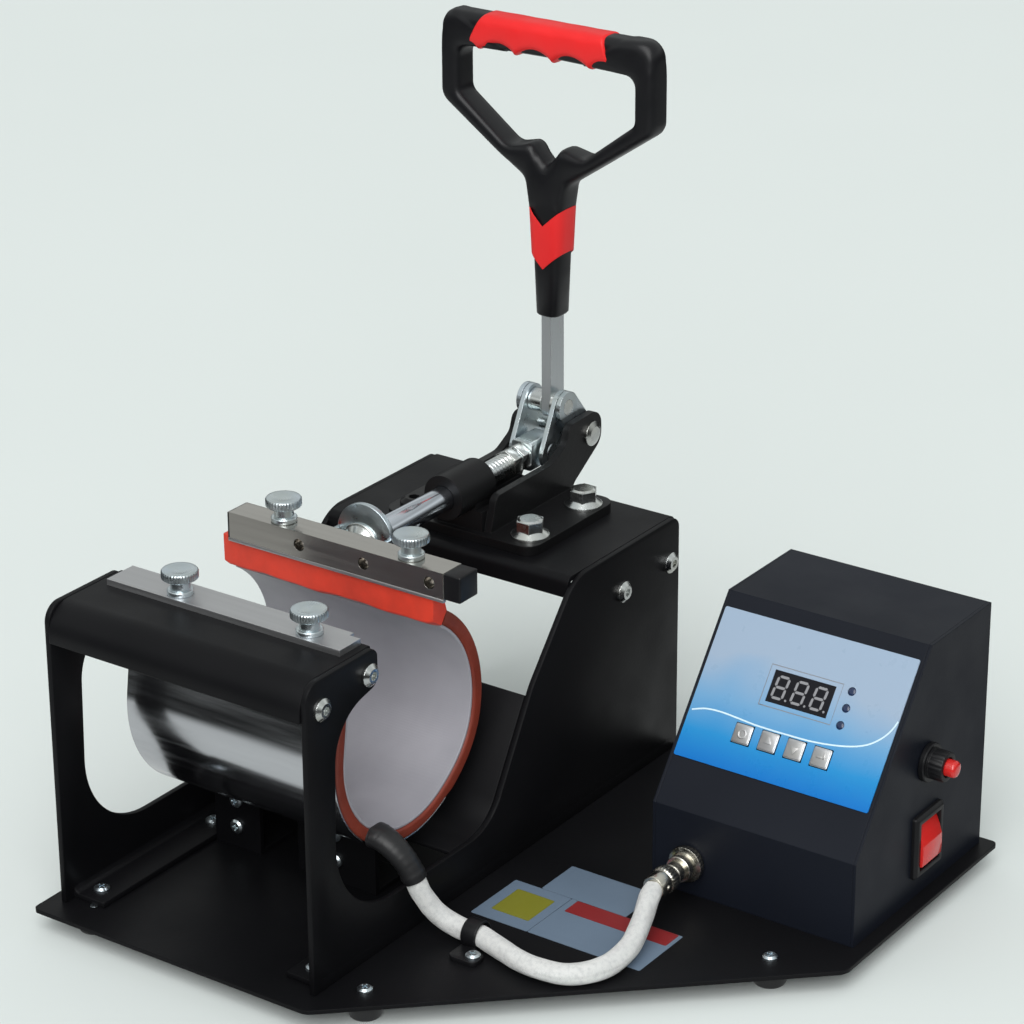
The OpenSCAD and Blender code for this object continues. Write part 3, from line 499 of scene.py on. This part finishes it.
KEY = plated("key_silver_print", (0.62, 0.63, 0.66), 0.36, 0.25)
LINE = moulded("print_white", (0.62, 0.80, 0.92), 0.4)
BOARD = moulded("board_green", (0.02, 0.13, 0.05), 0.4)
CORE = plated("transformer_iron", (0.34, 0.27, 0.18), 0.5)
LABEL = moulded("label_silver", (0.12, 0.165, 0.225), 0.4, 900, 0.1)
YELLOW = moulded("label_yellow", (0.17, 0.168, 0.016), 0.4)
LABEL_RED = moulded("label_red", (0.20, 0.014, 0.016), 0.4)
PANEL = overlay("panel_film", [(0.0, (0.002, 0.15, 0.50)), (0.28, (0.016, 0.24, 0.55)),
                               (0.62, (0.15, 0.34, 0.56)), (1.0, (0.31, 0.40, 0.52))])

BY_SLOT = {"black_steel": BLACK, "zinc": ZINC, "cast_black": CAST, "clamp_grey": STRIP,
           "polished_steel": SHEATH, "silicone_red": PAD, "liner_grey": LINER, "foot_rubber": RUBBER,
           "boot_black": BOOT, "sleeve_white": BRAID, "nickel": NICKEL, "box_paint": BOX, "panel_blue": PANEL,
           "display_black": GLASS, "led_dark": LED, "key_silver": KEY, "plastic_black": PLASTIC,
           "plastic_red": RED, "grip_black": GRIP, "grip_red": REDGRIP, "board_green": BOARD,
           "transformer_core": CORE, "label_film": LABEL}
BY_NODE = {"jaw_bar": BAR, "push_rod": ROD, "clamp_bolts": BOLT, "jaw_bolt": BOLT, "frame_bolts": BOLT,
           "lever_bar": STEEL, "pivot_pin": BOLT, "lever_pin": BOLT, "jam_nuts": BOLT}
for part in frame["record"]["subparts"]:
    data = frame["nodes"][part["node"]].data
    data.materials.clear()
    data.materials.append(BY_NODE.get(part["node"], BY_SLOT[part["material_slot"]]))
    data.polygons.foreach_set("use_smooth", [True] * len(data.polygons))
    data.set_sharp_from_angle(angle=math.radians(25))


# ---------------------------------------------------------------- press frame

def side_plates():
    outline = rounded([(-118, 0, 0), (-118, COVER_TOP, 9), (-67, COVER_TOP, 5), (-67, 134, 6),
                       (-98, 127, 26), (-101, 24, 42), (17, 24, 28), (52, 84, 24), (88, 127, 24),
                       (179, 127, 6), (179, 0, 0)])
    bend = [(54, 0), (SIDE_OUT - 0.4, 0), (SIDE_OUT - 0.1, 6), (SIDE_IN, 6), (71.2, 4), (69.4, 3), (54, 3)]
    verts, faces = merge(prism(outline, "x", SIDE_IN, SIDE_OUT), prism(bend, "y", -112, 175))
    for name, side in (("right_side_plate", 1), ("left_side_plate", -1)):
        turned = [(side * x, y, z) for x, y, z in verts]
        piece(name.replace("plate", "panel"), "frame", BLACK, (turned, faces), bevel=0.45,
              replaces=[name])


def front_cover():
    fold = rounded([(-119, 134, 0), (-119, COVER_TOP, 14), (-68, COVER_TOP, 1), (-68, 147, 0),
                    (-70.5, 147, 0), (-70.5, 149.5, 0), (-116.5, 149.5, 11.5), (-116.5, 134, 0)], 3)
    ears = [prism(rounded([(-114, 131, 3), (-69, 131, 3), (-69, 149, 2), (-114, 149, 10)]), "x", *x)
            for x in ((-SIDE_IN, -69.5), (69.5, SIDE_IN))]
    sheet = prism(fold, "x", 0.1 - SIDE_IN, SIDE_IN - 0.1)
    piece("cover_sheet", "frame", BLACK, merge(sheet, *ears), bevel=0.5, seg=3,
          replaces=["front_cover"])


def cradle():
    outline = rounded([(-12, 22, 0), (-12, 24, 0), (16, 24, 26), (49, 80, 0), (50.7, 79, 0),
                       (17.3, 22, 28)], 3)
    piece("cradle_sheet", "frame", BLACK, prism(outline, "x", -SIDE_IN, SIDE_IN), bevel=0.3,
          replaces=["cradle_panel"])


def feet():
    spots = [(-60, -112), (90, -101), (224, 25), (240, 160), (-60, 162)]
    shapes = [lathe([(-12, 4.6), (-12, 6.6), (-11.6, 7.3), (-10.6, 7.8), (-4, 8.6), (-2.4, 9.0), (-2.0, 8.6),
                     (-2.0, 2.1)], "z", (x, y, 0)) for x, y in spots]
    wells = [lathe([(-12, 4.6), (-5.2, 4.4), (-5.0, 2.1)], "z", (x, y, 0)) for x, y in spots]
    piece("feet_rubber", "frame", RUBBER, merge(*shapes, *[(v, f[:-2]) for v, f in wells]),
          replaces=["rubber_feet"])


# ---------------------------------------------------------------- heater band

SPLIT = 301                             # angle on the round, in degrees, where the flexible tail begins
BAND_END = 418
BLEND_LOW, BLEND_HIGH = (0, -20, 45), (0, 25, 66.5)


def band_stations(end):
    """Angle on the round in degrees and slide along the tangent, from the front arm to the end angle."""
    return [(172, -s) for s in (46, 36, 26, 16, 8)] + [(d, 0) for d in range(172, end + 1, 3)]


def bulge(d):
    """The rear half stands a little wider than the front one."""
    t = max(0, min(1, (d - 300) / 45))
    return 2.5 * t * t * (3 - 2 * t)


def band(name, material, r0, r1, half, lip, end, nodes):
    """One layer of the band: a rounded strip swept round the horseshoe."""
    rings = []
    for d, s in band_stations(end):
        a = math.radians(d)
        n, t = (math.cos(a), math.sin(a)), (-math.sin(a), math.cos(a))
        corners = ((-half, r0(d)), (half, r0(d)), (half, r1(d)), (-half, r1(d)))
        section = rounded([(x, r, lip) for x, r in corners], 22)
        rings.append([(x, HEAT_Y + r * n[0] + s * t[0], HEAT_Z + r * n[1] + s * t[1]) for x, r in section])
    piece(name, "frame", material, loft(rings), smooth=50, replaces=nodes,
          blend=("frame", "slider", at(BLEND_LOW), at(BLEND_HIGH)))


def heater():
    band("band_sheath", SHEATH, lambda d: 54, lambda d: 55, 60.6, 0.3, SPLIT,
         ["heater_sheath"])
    band("band_pad", PAD, lambda d: 48 + bulge(d),
         lambda d: 54 + bulge(d) + min(1, max(0, (d - SPLIT) / 6)), 61.3, 1.6, BAND_END,
         ["heater_pad", "heater_tail"])
    band("band_liner", LINER, lambda d: 46.5 + bulge(d), lambda d: 48 + bulge(d), 60.4, 0.5,
         BAND_END, ["heater_liner"])


def flap():
    """The silicone strip under the moving jaw, whose lower edge sags a little."""
    face = rounded([(-8, 136, 1.6), (-1.2, 132, 0.3), (3.2, 139, 0.3), (-0.5, 150.9, 0.5), (-8, 150.9, 0.6)])
    half, count, rings = 61.5, 40, []
    for k in range(count + 1):
        x = -half + 2 * half * k / count
        sag = 0.35 * math.sin(x * 0.11) + 0.2 * math.sin(x * 0.31 + 1)
        sway = 0.25 * math.sin(x * 0.17)
        trim = 0.8 if k in (0, count) else 0
        ring = []
        for y, z in face:
            free = z < 146
            dy = (sway if free else 0) + (trim if y < -4 else -trim) * 0.5
            dz = (sag * (148 - z) / 12 if free else 0) + (trim if z < 138 else 0)
            ring.append((x, y + dy, z + dz))
        rings.append(ring)
    piece("band_flap", "slider", FLAP, loft(rings), smooth=50, replaces=["jaw_strip"])


# ---------------------------------------------------------------- lead, boot, clip and plug

BOOT_ROUTE = [(61.3, -54, 48.5), (64, -54, 48.5), (69, -53.8, 46.5), (74, -53, 42.5), (78, -51.8, 37),
              (81, -50.5, 30)]
LEAD_ROUTE = [(81, -50.5, 30), (83.5, -48.8, 22.5), (87, -46, 15), (92.5, -43.5, 9.5), (100, -41.8, 7),
              (108, -41.5, 6.6), (117, -43.5, 6.2), (127, -46, 5.8), (137, -48.3, 5.6), (148, -49.5, 5.5),
              (159.5, -47, 5.5), (168, -39.5, 5.5), (172.5, -28, 5.7), (173, -14.5, 6.8), (170, -1.5, 9.2),
              (166.5, 8.5, 12), (163.6, 17, 14.9), (162, 24, 17)]


def lead():
    """The sleeved lead with its slight folds, and the rubber boot over its start."""
    path = smooth_path(LEAD_ROUTE, 8)
    last = len(path) - 1

    def sleeve(i, a):
        t = i / last
        pinch = 0.10 * math.exp(-((t - 0.29) / 0.03) ** 2) + 0.13 * math.exp(-((t - 1) / 0.03) ** 2)
        fold = (0.035 * math.sin(a * 2 + t * 14) + 0.03 * math.sin(a * 3 - t * 31)
                + 0.02 * math.sin(a * 5 + t * 55))
        return 5.0 * (1 - pinch + fold)

    n = 28
    shape = tube(path, sleeve, n)
    piece("lead_sleeve", "frame", BRAID, shape, smooth=60, replaces=["heater_cable"],
          uv=lambda v: ((v % n) / n * 6, (v // n) * 0.11))
    path = smooth_path(BOOT_ROUTE, 6)
    end = len(path) - 1

    def boot(i, a):
        t = i / end
        flat = (1 - t) * 0.22 * math.cos(2 * a)
        swell = 1.03 - 0.12 * t + 0.06 * math.exp(-((t - 0.93) / 0.05) ** 2)
        return 6.2 * (swell + flat) + 0.12 * math.sin(t * 70)

    piece("lead_boot", "frame", BOOT, tube(path, boot, 32), smooth=60, replaces=["cable_boot"])


def clip():
    """A strap round the lead, and the tab that its screw holds down."""
    x, y, z = 108, -41.5, 6.6
    radius, count, rings = 6.35, 40, []
    strap = rounded([(-4, -0.55, 0.3), (4, -0.55, 0.3), (4, 0.6, 0.5), (-4, 0.6, 0.5)], 30)
    for k in range(count + 1):
        c, s = math.cos(math.tau * k / count), math.sin(math.tau * k / count)
        rings.append([(x + dx, y + (radius + dr) * c, max(0.05, z + (radius + dr) * s)) for dx, dr in strap])
    tail = prism(rounded([(x - 4, y - 17, 3), (x + 11, y - 17, 3), (x + 11, y - 7.5, 3),
                          (x + 4, y - 7.5, 0.1), (x + 4, y - 2, 0), (x - 4, y - 2, 0)]), "z", 0, 2.4)
    piece("clip_strap", "frame", PLASTIC, merge(loft(rings, False), tail), bevel=0.3,
          replaces=["p_clip"])


def knurl(count, depth, low, high):
    return lambda h, r, a: r - (depth * (0.5 + 0.5 * math.cos(a * count)) if low <= h <= high else 0)


def plug():
    c = (162, 0, 17)
    body = lathe([(23.2, 4.2), (23.2, 5.4), (23.8, 5.8), (30.6, 5.8), (31, 6.4), (31.4, 6.8), (32, 6.8),
                  (35, 6.8), (35.6, 6.4), (36, 5), (38, 5), (38.2, 5.3), (38.8, 5.3), (39, 5), (44, 5)],
                 "y", c, 96, knurl(24, 0.5, 31.3, 35.2))
    screw = lathe([(5.2, 1.3), (6.2, 1.3), (6.5, 1.0)], "x", (162, 27.5, 17), 16)
    piece("plug_shell", "frame", NICKEL, merge(body, screw), replaces=["cable_plug"])
    socket = lathe([(44, 5.2), (44, 6.2), (44.4, 6.6), (49.4, 6.6), (49.6, 7.6), (50, 8.8), (50.4, 9),
                    (52.4, 9), (53, 8.6), (53, 7.9), (66, 7.9)], "y", c, 120, knurl(30, 0.6, 50.2, 52.5))
    piece("socket_shell", "frame", NICKEL, socket, replaces=["panel_socket"])


# ---------------------------------------------------------------- control box

def strip_along(points, width, low, high):
    """A thin printed line along (x, s) points."""
    left, right = [], []
    for i, p in enumerate(points):
        a, b = points[max(i - 1, 0)], points[min(i + 1, len(points) - 1)]
        d = Vector((b[0] - a[0], b[1] - a[1])).normalized()
        left.append((p[0] - d.y * width / 2, p[1] + d.x * width / 2))
        right.append((p[0] + d.y * width / 2, p[1] - d.x * width / 2))
    n = len(points)
    verts = [(x, s, h) for h in (low, high) for x, s in left + right]
    faces = []
    for i in range(n - 1):
        faces.append((i, i + 1, n + i + 1, n + i))
        faces.append((2 * n + i, 3 * n + i, 3 * n + i + 1, 2 * n + i + 1))
        faces.append((i, 2 * n + i, 2 * n + i + 1, i + 1))
        faces.append((n + i, n + i + 1, 3 * n + i + 1, 3 * n + i))
    return verts, faces


def digits():
    """Three seven-segment figures, unlit."""
    shapes = []
    h, w, t = 10.4, 5.6, 1.3
    raised = (0.42, 0.5)

    def segment(cx, cs, length, upright):
        half, q = length / 2, t / 2
        out = [(-half, 0), (-half + q, q), (half - q, q), (half, 0), (half - q, -q), (-half + q, -q)]
        if upright:
            out = [(-b, a) for a, b in out]
        lean = 0.08
        return prism([(cx + a + (cs + b - DIGIT_S) * lean, cs + b) for a, b in out], "z", *raised)

    for cx in DIGIT_X:
        for cs in (-h / 2, 0, h / 2):
            shapes.append(segment(cx, DIGIT_S + cs, w - 0.5, False))
        for dx in (-w / 2, w / 2):
            for cs in (-h / 4, h / 4):
                shapes.append(segment(cx + dx, DIGIT_S + cs, h / 2 - 0.5, True))
        shapes.append(prism([(cx + 4.5 + 0.6 * math.cos(a), DIGIT_S - h / 2 + 0.6 * math.sin(a))
                             for a in (math.tau * k / 12 for k in range(12))], "z", *raised))
    piece("display_digits", "frame", DIGIT, on_slope(merge(*shapes)))
    left, right, low, top = 35.4, 73.6, 57.8, 77.6
    border = strip_along([(left, low), (right, low), (right, top), (left, top), (left, low),
                          (left + 1.6, low)], 0.4, 0.63, 0.68)
    piece("display_border", "frame", DIGIT, on_slope(border))


def ring_mark(outer, inner, low, high):
    n, rings = 24, []
    for r, h in ((inner, low), (inner, high), (outer, high), (outer, low)):
        rings.append([(r * math.cos(math.tau * k / n), r * math.sin(math.tau * k / n), h) for k in range(n)])
    return loft(rings, False)


def arrow_mark(r, way, low, high):
    corners = [(r * math.sin(a), way * (0.2 + r * math.cos(a))) for a in (0, 2.094, 4.189)]
    return prism(corners, "z", low, high)


def keys():
    """Four caps on stems, each with a plain raised mark."""
    low, high = 1.5, 1.85
    marks = {"key_set": [ring_mark(2.3, 1.5, low, high)],
             "key_up": [arrow_mark(2.6, 1, low, high)],
             "key_down": [arrow_mark(2.6, -1, low, high)],
             "key_enter": [block((-2.2, -0.5, low), (2.2, 0.5, high)),
                           block((1.2, -0.5, low), (2.2, 2.2, high))]}
    cap = rounded([(-4.65, -4.65, 0.9), (4.65, -4.65, 0.9), (4.65, 4.65, 0.9), (-4.65, 4.65, 0.9)], 18)
    foot = prism(cap, "z", -1.8, 1.2)
    pad = prism([(a * 0.9, b * 0.9) for a, b in cap], "z", 1.1, 1.55)
    post = lathe([(-4.8, 1.6), (-4.8, 2), (-1.8, 2)], "z", (0, 0, 0), 24)
    for k, (x, node) in enumerate(zip(KEY_X, marks)):
        verts, faces = merge(foot, pad, post, *marks[node])
        moved = [(a + x, b + KEY_S, c) for a, b, c in verts]
        piece(node.replace("key", "cap"), f"key_{k + 1}", KEY, on_slope((moved, faces)),
              bevel=0.18, replaces=[node])


def control_box():
    wave = smooth_path([(3.4, 46.5, 0), (10, 48.6, 0), (18, 49.2, 0), (28, 48.6, 0), (40, 47.8, 0),
                        (61, 47.8, 0), (72, 48.4, 0), (82, 49.8, 0), (90, 51.8, 0), (96, 54.6, 0),
                        (101, 59, 0), (104, 63.6, 0), (105.6, 68, 0)], 5)
    line = [(p.x, p.y) for p in wave]
    piece("panel_wave", "frame", LINE, on_slope(strip_along(line, 0.8, 0.6, 0.66)))
    digits()
    keys()
    lens = [lathe([(-5.9, 2), (0.2, 2), (0.6, 1.6), (0.75, 0.7)], "z", (LED_X, s, 0), 28) for s in LED_S]
    piece("led_domes", "frame", LED, on_slope(merge(*lens)), replaces=["led_lenses"])


def breaker():
    """The thermal breaker's ring and knurled collar, open in the middle for the reset button."""
    c = (BOX_RIGHT, 118, 68)
    ring = lathe([(-20, 6), (0, 6), (0, 9.1), (0.5, 9.5), (2.5, 9.5), (3, 9.1), (3, 7.4), (4, 7.4), (4, 4.6),
                  (2.2, 4.6)], "x", c, 72)
    verts, faces = lathe([(3, 7.2), (3.6, 7.4), (10.2, 7.4), (10.9, 6.9), (11, 6.2), (11, 5.0), (10.4, 4.6),
                          (4, 4.5)], "x", c, 96, knurl(20, 0.35, 3.5, 10.3))
    collar = (verts, faces[:-2])
    piece("breaker_shell", "frame", PLASTIC, merge(ring, collar), replaces=["breaker_body"])
    tip = lathe([(5, 4.1), (14.2, 4.1), (15, 3.9), (15.6, 3.4), (15.9, 2.4), (16, 1.0)], "x", c, 40)
    piece("reset_cap", "reset", RED, tip, smooth=50, replaces=["reset_button"])


def rocker():
    x, y, z = BOX_RIGHT, 119, 27

    def window(half_y, half_z, corner, h):
        corners = [(y + i * half_y, z + j * half_z, corner) for i, j in ((-1, -1), (1, -1), (1, 1), (-1, 1))]
        return [(x + h, a, b) for a, b in rounded(corners, 15)]

    bezel = [window(13, 16, 1.6, 0), window(13, 16, 1.6, 1.6), window(11.6, 14.6, 1, 3.0),
             window(9.3, 12.3, 0.4, 3.0), window(9.3, 12.3, 0.4, -8)]
    body = block((x - 18, y - 10.8, z - 13.8), (x - 8, y + 10.8, z + 13.8))
    sides = [window(10.8, 13.8, 1, h) for h in (-8, 0.2)]
    piece("switch_bezel", "frame", PLASTIC,
          merge(loft(bezel, False), body, loft(sides, False)), bevel=0.2, replaces=["rocker_frame"])
    cos, sin = math.cos(math.radians(10)), math.sin(math.radians(10))
    shape = rounded([(-3, -9.5, 0.4), (3.2, -11, 1.0), (4.6, -5, 12), (5.3, 0, 2.2), (4.6, 5, 12),
                     (3.2, 11, 1.0), (-3, 9.5, 0.4)], 8)
    verts, faces = prism(shape, "y", -9, 9)
    turned = [(x - 1 + a * cos - c * sin, b + y, z + a * sin + c * cos) for a, b, c in verts]
    pin = lathe([(-10.7, 1.5), (10.7, 1.5)], "y", (x - 1, y, z), 24)
    piece("switch_paddle", "switch", RED, merge((turned, faces), pin), bevel=0.35,
          replaces=["rocker"])


def labels():
    """Plain films on the base: each has its material, two opposite corners, bottom and top."""
    films = {"label_small": (LABEL, (88, -18), (119.8, 18.6), 0.01, 0.2),
             "label_wide": (LABEL, (102.6, 18.8), (150, 44.5), 0.01, 0.2),
             "label_main": (LABEL, (120, -18), (181.5, 18.6), 0.01, 0.2),
             "label_yellow_patch": (YELLOW, (94, -10), (115, 12), 0.21, 0.3),
             "label_red_patch": (LABEL_RED, (123.5, 7), (179.5, 18.4), 0.21, 0.3)}
    for name, (material, (x0, y0), (x1, y1), low, high) in films.items():
        outline = rounded([(x0, y0, 0.8), (x1, y0, 0.8), (x1, y1, 0.8), (x0, y1, 0.8)], 15)
        piece(name, "frame", material, prism(outline, "z", low, high),
              replaces=["info_labels"] if name == "label_main" else ())


# ---------------------------------------------------------------- toggle, jaw and handle

def thumb_screws():
    profile = [(0, 3), (0, 5.9), (0.4, 6.2), (2.1, 6.2), (2.5, 5.8), (2.7, 4.6), (6.6, 4.6), (7, 5.2),
               (7.3, 7.4), (7.8, 8.2), (8.2, 8.6), (11.2, 8.6), (11.8, 8.1), (12.1, 7.2), (12.0, 5.6),
               (11.75, 4.0), (11.7, 1.5)]
    places = [(x, y, seat, length, f"thumb_screw_{row}_{side}")
              for row, y, seat, length in (("front", -78, COVER_TOP + 3, 9), ("rear", -3, JAW_TOP, 11))
              for x, side in zip(SCREW_X, ("left", "right"))]
    for k, (x, y, seat, length, node) in enumerate(places):
        head = lathe(profile, "z", (x, y, seat), 144, knurl(36, 0.35, 7.7, 11.5))
        thread = [(i / 2 - length, 3.0 if i % 2 else 2.6) for i in range(length * 2)]
        shank = lathe(thread + [(0, 2.6)], "z", (x, y, seat), 24)
        piece(node.replace("thumb_screw", "knob"), f"thumb_screw_{k + 1}", ZINC, merge(head, shank),
              smooth=35, replaces=[node])


def push_rod():
    front = lathe([(22, 4), (22, 5.9), (22.5, 6.35), (113.4, 6.35), (114, 5.9), (114.2, 5)], "y",
                  (0, 0, ROD_Z), 64)
    n, pitch, rings = 40, 2.5, []
    y = 114.0
    while y < 151:
        ring = []
        for k in range(n):
            a = math.tau * k / n
            f = ((y / pitch) - a / math.tau) % 1
            r = 5.0 + 0.9 * (1 - abs(2 * f - 1))
            ring.append((r * math.cos(a), y, ROD_Z - r * math.sin(a)))
        rings.append(ring)
        y += 0.42
    low, high = ROD_Z - 7.5, ROD_Z + 7.5
    clevis = prism(rounded([(-6.3, low, 2), (6.3, low, 2), (6.3, high, 2), (-6.3, high, 2)], 18),
                   "y", 150, 169)
    piece("rod_bar", "slider", ROD, front, smooth=45, replaces=["push_rod"])
    piece("rod_thread", "slider", BOLT, loft(rings), smooth=60)
    piece("rod_clevis", "slider", ZINC, clevis, bevel=0.5)
    turns = [math.radians(30 + 60 * k) for k in range(6)]
    hexagon = [(7.5 * math.cos(a), ROD_Z + 7.5 * math.sin(a)) for a in turns]
    nuts = [prism(hexagon, "y", y, y + 6.5) for y in (135.5, 143)]
    piece("rod_nuts", "slider", BOLT, merge(*nuts), bevel=0.7, replaces=["jam_nuts"])


def jaw():
    skin = 0.05
    cap = block((68.8, JAW_FRONT + skin, JAW_LOW + skin), (78.3, JAW_REAR - skin, JAW_TOP - skin))
    piece("jaw_end_cap", "slider", PLASTIC, cap, bevel=0.8, seg=3)
    cap = block((-56.6, JAW_FRONT - 0.15, JAW_LOW - 0.1), (-55.6, JAW_REAR + 0.1, JAW_TOP - skin))
    piece("jaw_end_plug", "slider", PLASTIC, cap, bevel=0.35)
    lip = prism(rounded([(JAW_FRONT - 0.3, JAW_LOW - 1.7, 0.4), (-7.9, JAW_LOW - 1.7, 0), (-7.9, JAW_LOW, 0),
                         (JAW_FRONT - 0.3, JAW_LOW, 0)]), "x", -56.4, 69)
    piece("jaw_lip", "slider", STRIP, lip, bevel=0.2)
    tab = prism(rounded([(-14, 142.5, 3), (18, 142.5, 3), (18, 171.5, 15.9), (-14, 171.5, 15.9)], 4),
                "y", 19, 22)
    cheeks = [block((x, JAW_REAR, 144.5), (x + 2.5, 21, 157.5)) for x in (-14, 15.5)]
    piece("jaw_tab", "slider", ZINC, merge(tab, *cheeks), bevel=0.5, replaces=["jaw_bracket"])
    washer = lathe([(17.6, 4.2), (17.6, 9.9), (17.9, 10.2), (18.7, 10.2), (19, 9.9), (19, 4.2)], "y",
                   (0, 0, ROD_Z), 56)
    piece("jaw_washer", "slider", BOLT, washer)


def super_ring(centre, u, v, hu, hv, n=28, power=3.2):
    """A rounded-square ring round a centre, in the plane of the unit vectors u and v."""
    ring = []
    for k in range(n):
        a = math.tau * k / n
        c, s = math.cos(a), math.sin(a)
        p = hu * math.copysign(abs(c) ** (2 / power), c)
        q = hv * math.copysign(abs(s) ** (2 / power), s)
        ring.append(tuple(centre[i] + p * u[i] + q * v[i] for i in range(3)))
    return ring


def ray_hit(outline, origin, d):
    """How far a ray from origin travels to the outline."""
    best = None
    for i in range(len(outline)):
        a, b = outline[i - 1], outline[i]
        e = (b[0] - a[0], b[1] - a[1])
        den = d[0] * e[1] - d[1] * e[0]
        if abs(den) < 1e-9:
            continue
        w = (a[0] - origin[0], a[1] - origin[1])
        t = (w[0] * e[1] - w[1] * e[0]) / den
        s = (w[0] * d[1] - w[1] * d[0]) / den
        if t > 0 and -1e-6 <= s <= 1 + 1e-6 and (best is None or t > best):
            best = t
    return best


def handle_shell():
    """The D grip swept as rounded bars between its outline and its hole, and the neck under it."""
    low, top, half = GRIP_LOW, GRIP_TOP, GRIP_HALF
    right = [(9, low + 31, 4), (22, low + 27.5, 8), (half - 11.5, low + 49.5, 6),
             (half - 11.5, top - 17.5, 6)]
    outer = rounded([(-9.5, low - 6, 0), (9.5, low - 6, 0), (12, low + 12, 9), (half, low + 46.5, 8),
                     (half, top, 9), (-half, top, 9), (-half, low + 46.5, 8), (-12, low + 12, 9)])
    hole = rounded([(0, low + 20.5, 2)] + right + [(-x, z, r) for x, z, r in reversed(right)])
    centre = (0, low + 60)
    rings, count = [], 260
    for k in range(count + 1):
        a = math.tau * k / count
        d = (math.sin(a), math.cos(a))
        ro, ri = ray_hit(outer, centre, d), ray_hit(hole, centre, d)
        mid, depth = (ro + ri) / 2, 8.0
        c = (GRIP_X + d[0] * mid, GRIP_Y, centre[1] + d[1] * mid)
        if -38 < d[0] * mid < 33 and d[1] > 0:
            depth, ro, ri = 7.4, ro - 0.8, ri + 0.8
        rings.append(super_ring(c, (d[0], 0, d[1]), (0, 1, 0), (ro - ri) / 2, depth, 28, 3.4))
    grip = loft(rings, False)
    sections = [(220.5, 6.0, 6.6), (221.4, 6.7, 7.3), (243, 7.6, 7.8), (258, 8.3, 8), (271, 9.2, 8.1),
                (279, 9.8, 8), (289, 11.4, 7.9), (294, 12.4, 7.4)]
    neck = loft([super_ring((GRIP_X, GRIP_Y, z), (1, 0, 0), (0, 1, 0), hx, hy, 28, 3.4)
                 for z, hx, hy in sections])
    piece("handle_shell", "lever", GRIP, merge(grip, neck), smooth=60, replaces=["handle_body"])


def handle_grip():
    """The red sleeve on the top bar, with four finger hollows and slanted ends."""
    rings, count = [], 96
    for k in range(count + 1):
        t = k / count
        x_low, x_top = -46.5 + 85 * t, -36.5 + 70 * t
        wave = 4.6 * abs(math.sin(math.pi * (x_low - 3.9) / 21.8)) ** 0.75
        z_low = 349.2 + wave * (0.6 if x_low < -35 else 1)
        edge = 0.5 if k in (0, count) else 0
        ring = []
        for _, y, z in super_ring((0, GRIP_Y, (GRIP_TOP + z_low) / 2), (0, 1, 0), (0, 0, 1), 8.8 - edge,
                                  (GRIP_TOP - z_low) / 2 - edge, 36, 3.2):
            up = (z - 350) / 18
            ring.append((GRIP_X + x_low + (x_top - x_low) * up, y, z))
        rings.append(ring)
    piece("handle_grip", "lever", REDGRIP, loft(rings), smooth=60, replaces=["grip_sleeve"])


def handle_chevron():
    """The red band round the neck, pointed at both edges."""
    rings = []
    for upper, grow in ((0, 0.0), (0, 0.45), (1, 0.45), (1, 0.0)):
        ring = []
        for p in super_ring((0, 0, 0), (1, 0, 0), (0, 1, 0), 1, 1, 64, 3.4):
            vee = 8.5 * (1 - min(1, abs(p[0])))
            z = GRIP_LOW - vee * 1.1 if upper else 254 - vee
            hx, hy = 8.3 + (z - 245) * 0.055 + grow, 8.3 + (z - 245) * 0.02 + grow
            ring.append((GRIP_X + p[0] * hx, GRIP_Y + p[1] * hy, z))
        rings.append(ring)
    piece("handle_chevron", "lever", REDGRIP, loft(rings, False), smooth=50,
          replaces=["handle_band"])


camera()
studio()
side_plates()
front_cover()
cradle()
feet()
heater()
flap()
lead()
clip()
plug()
control_box()
breaker()
rocker()
labels()
thumb_screws()
push_rod()
jaw()
handle_shell()
handle_grip()
handle_chevron()
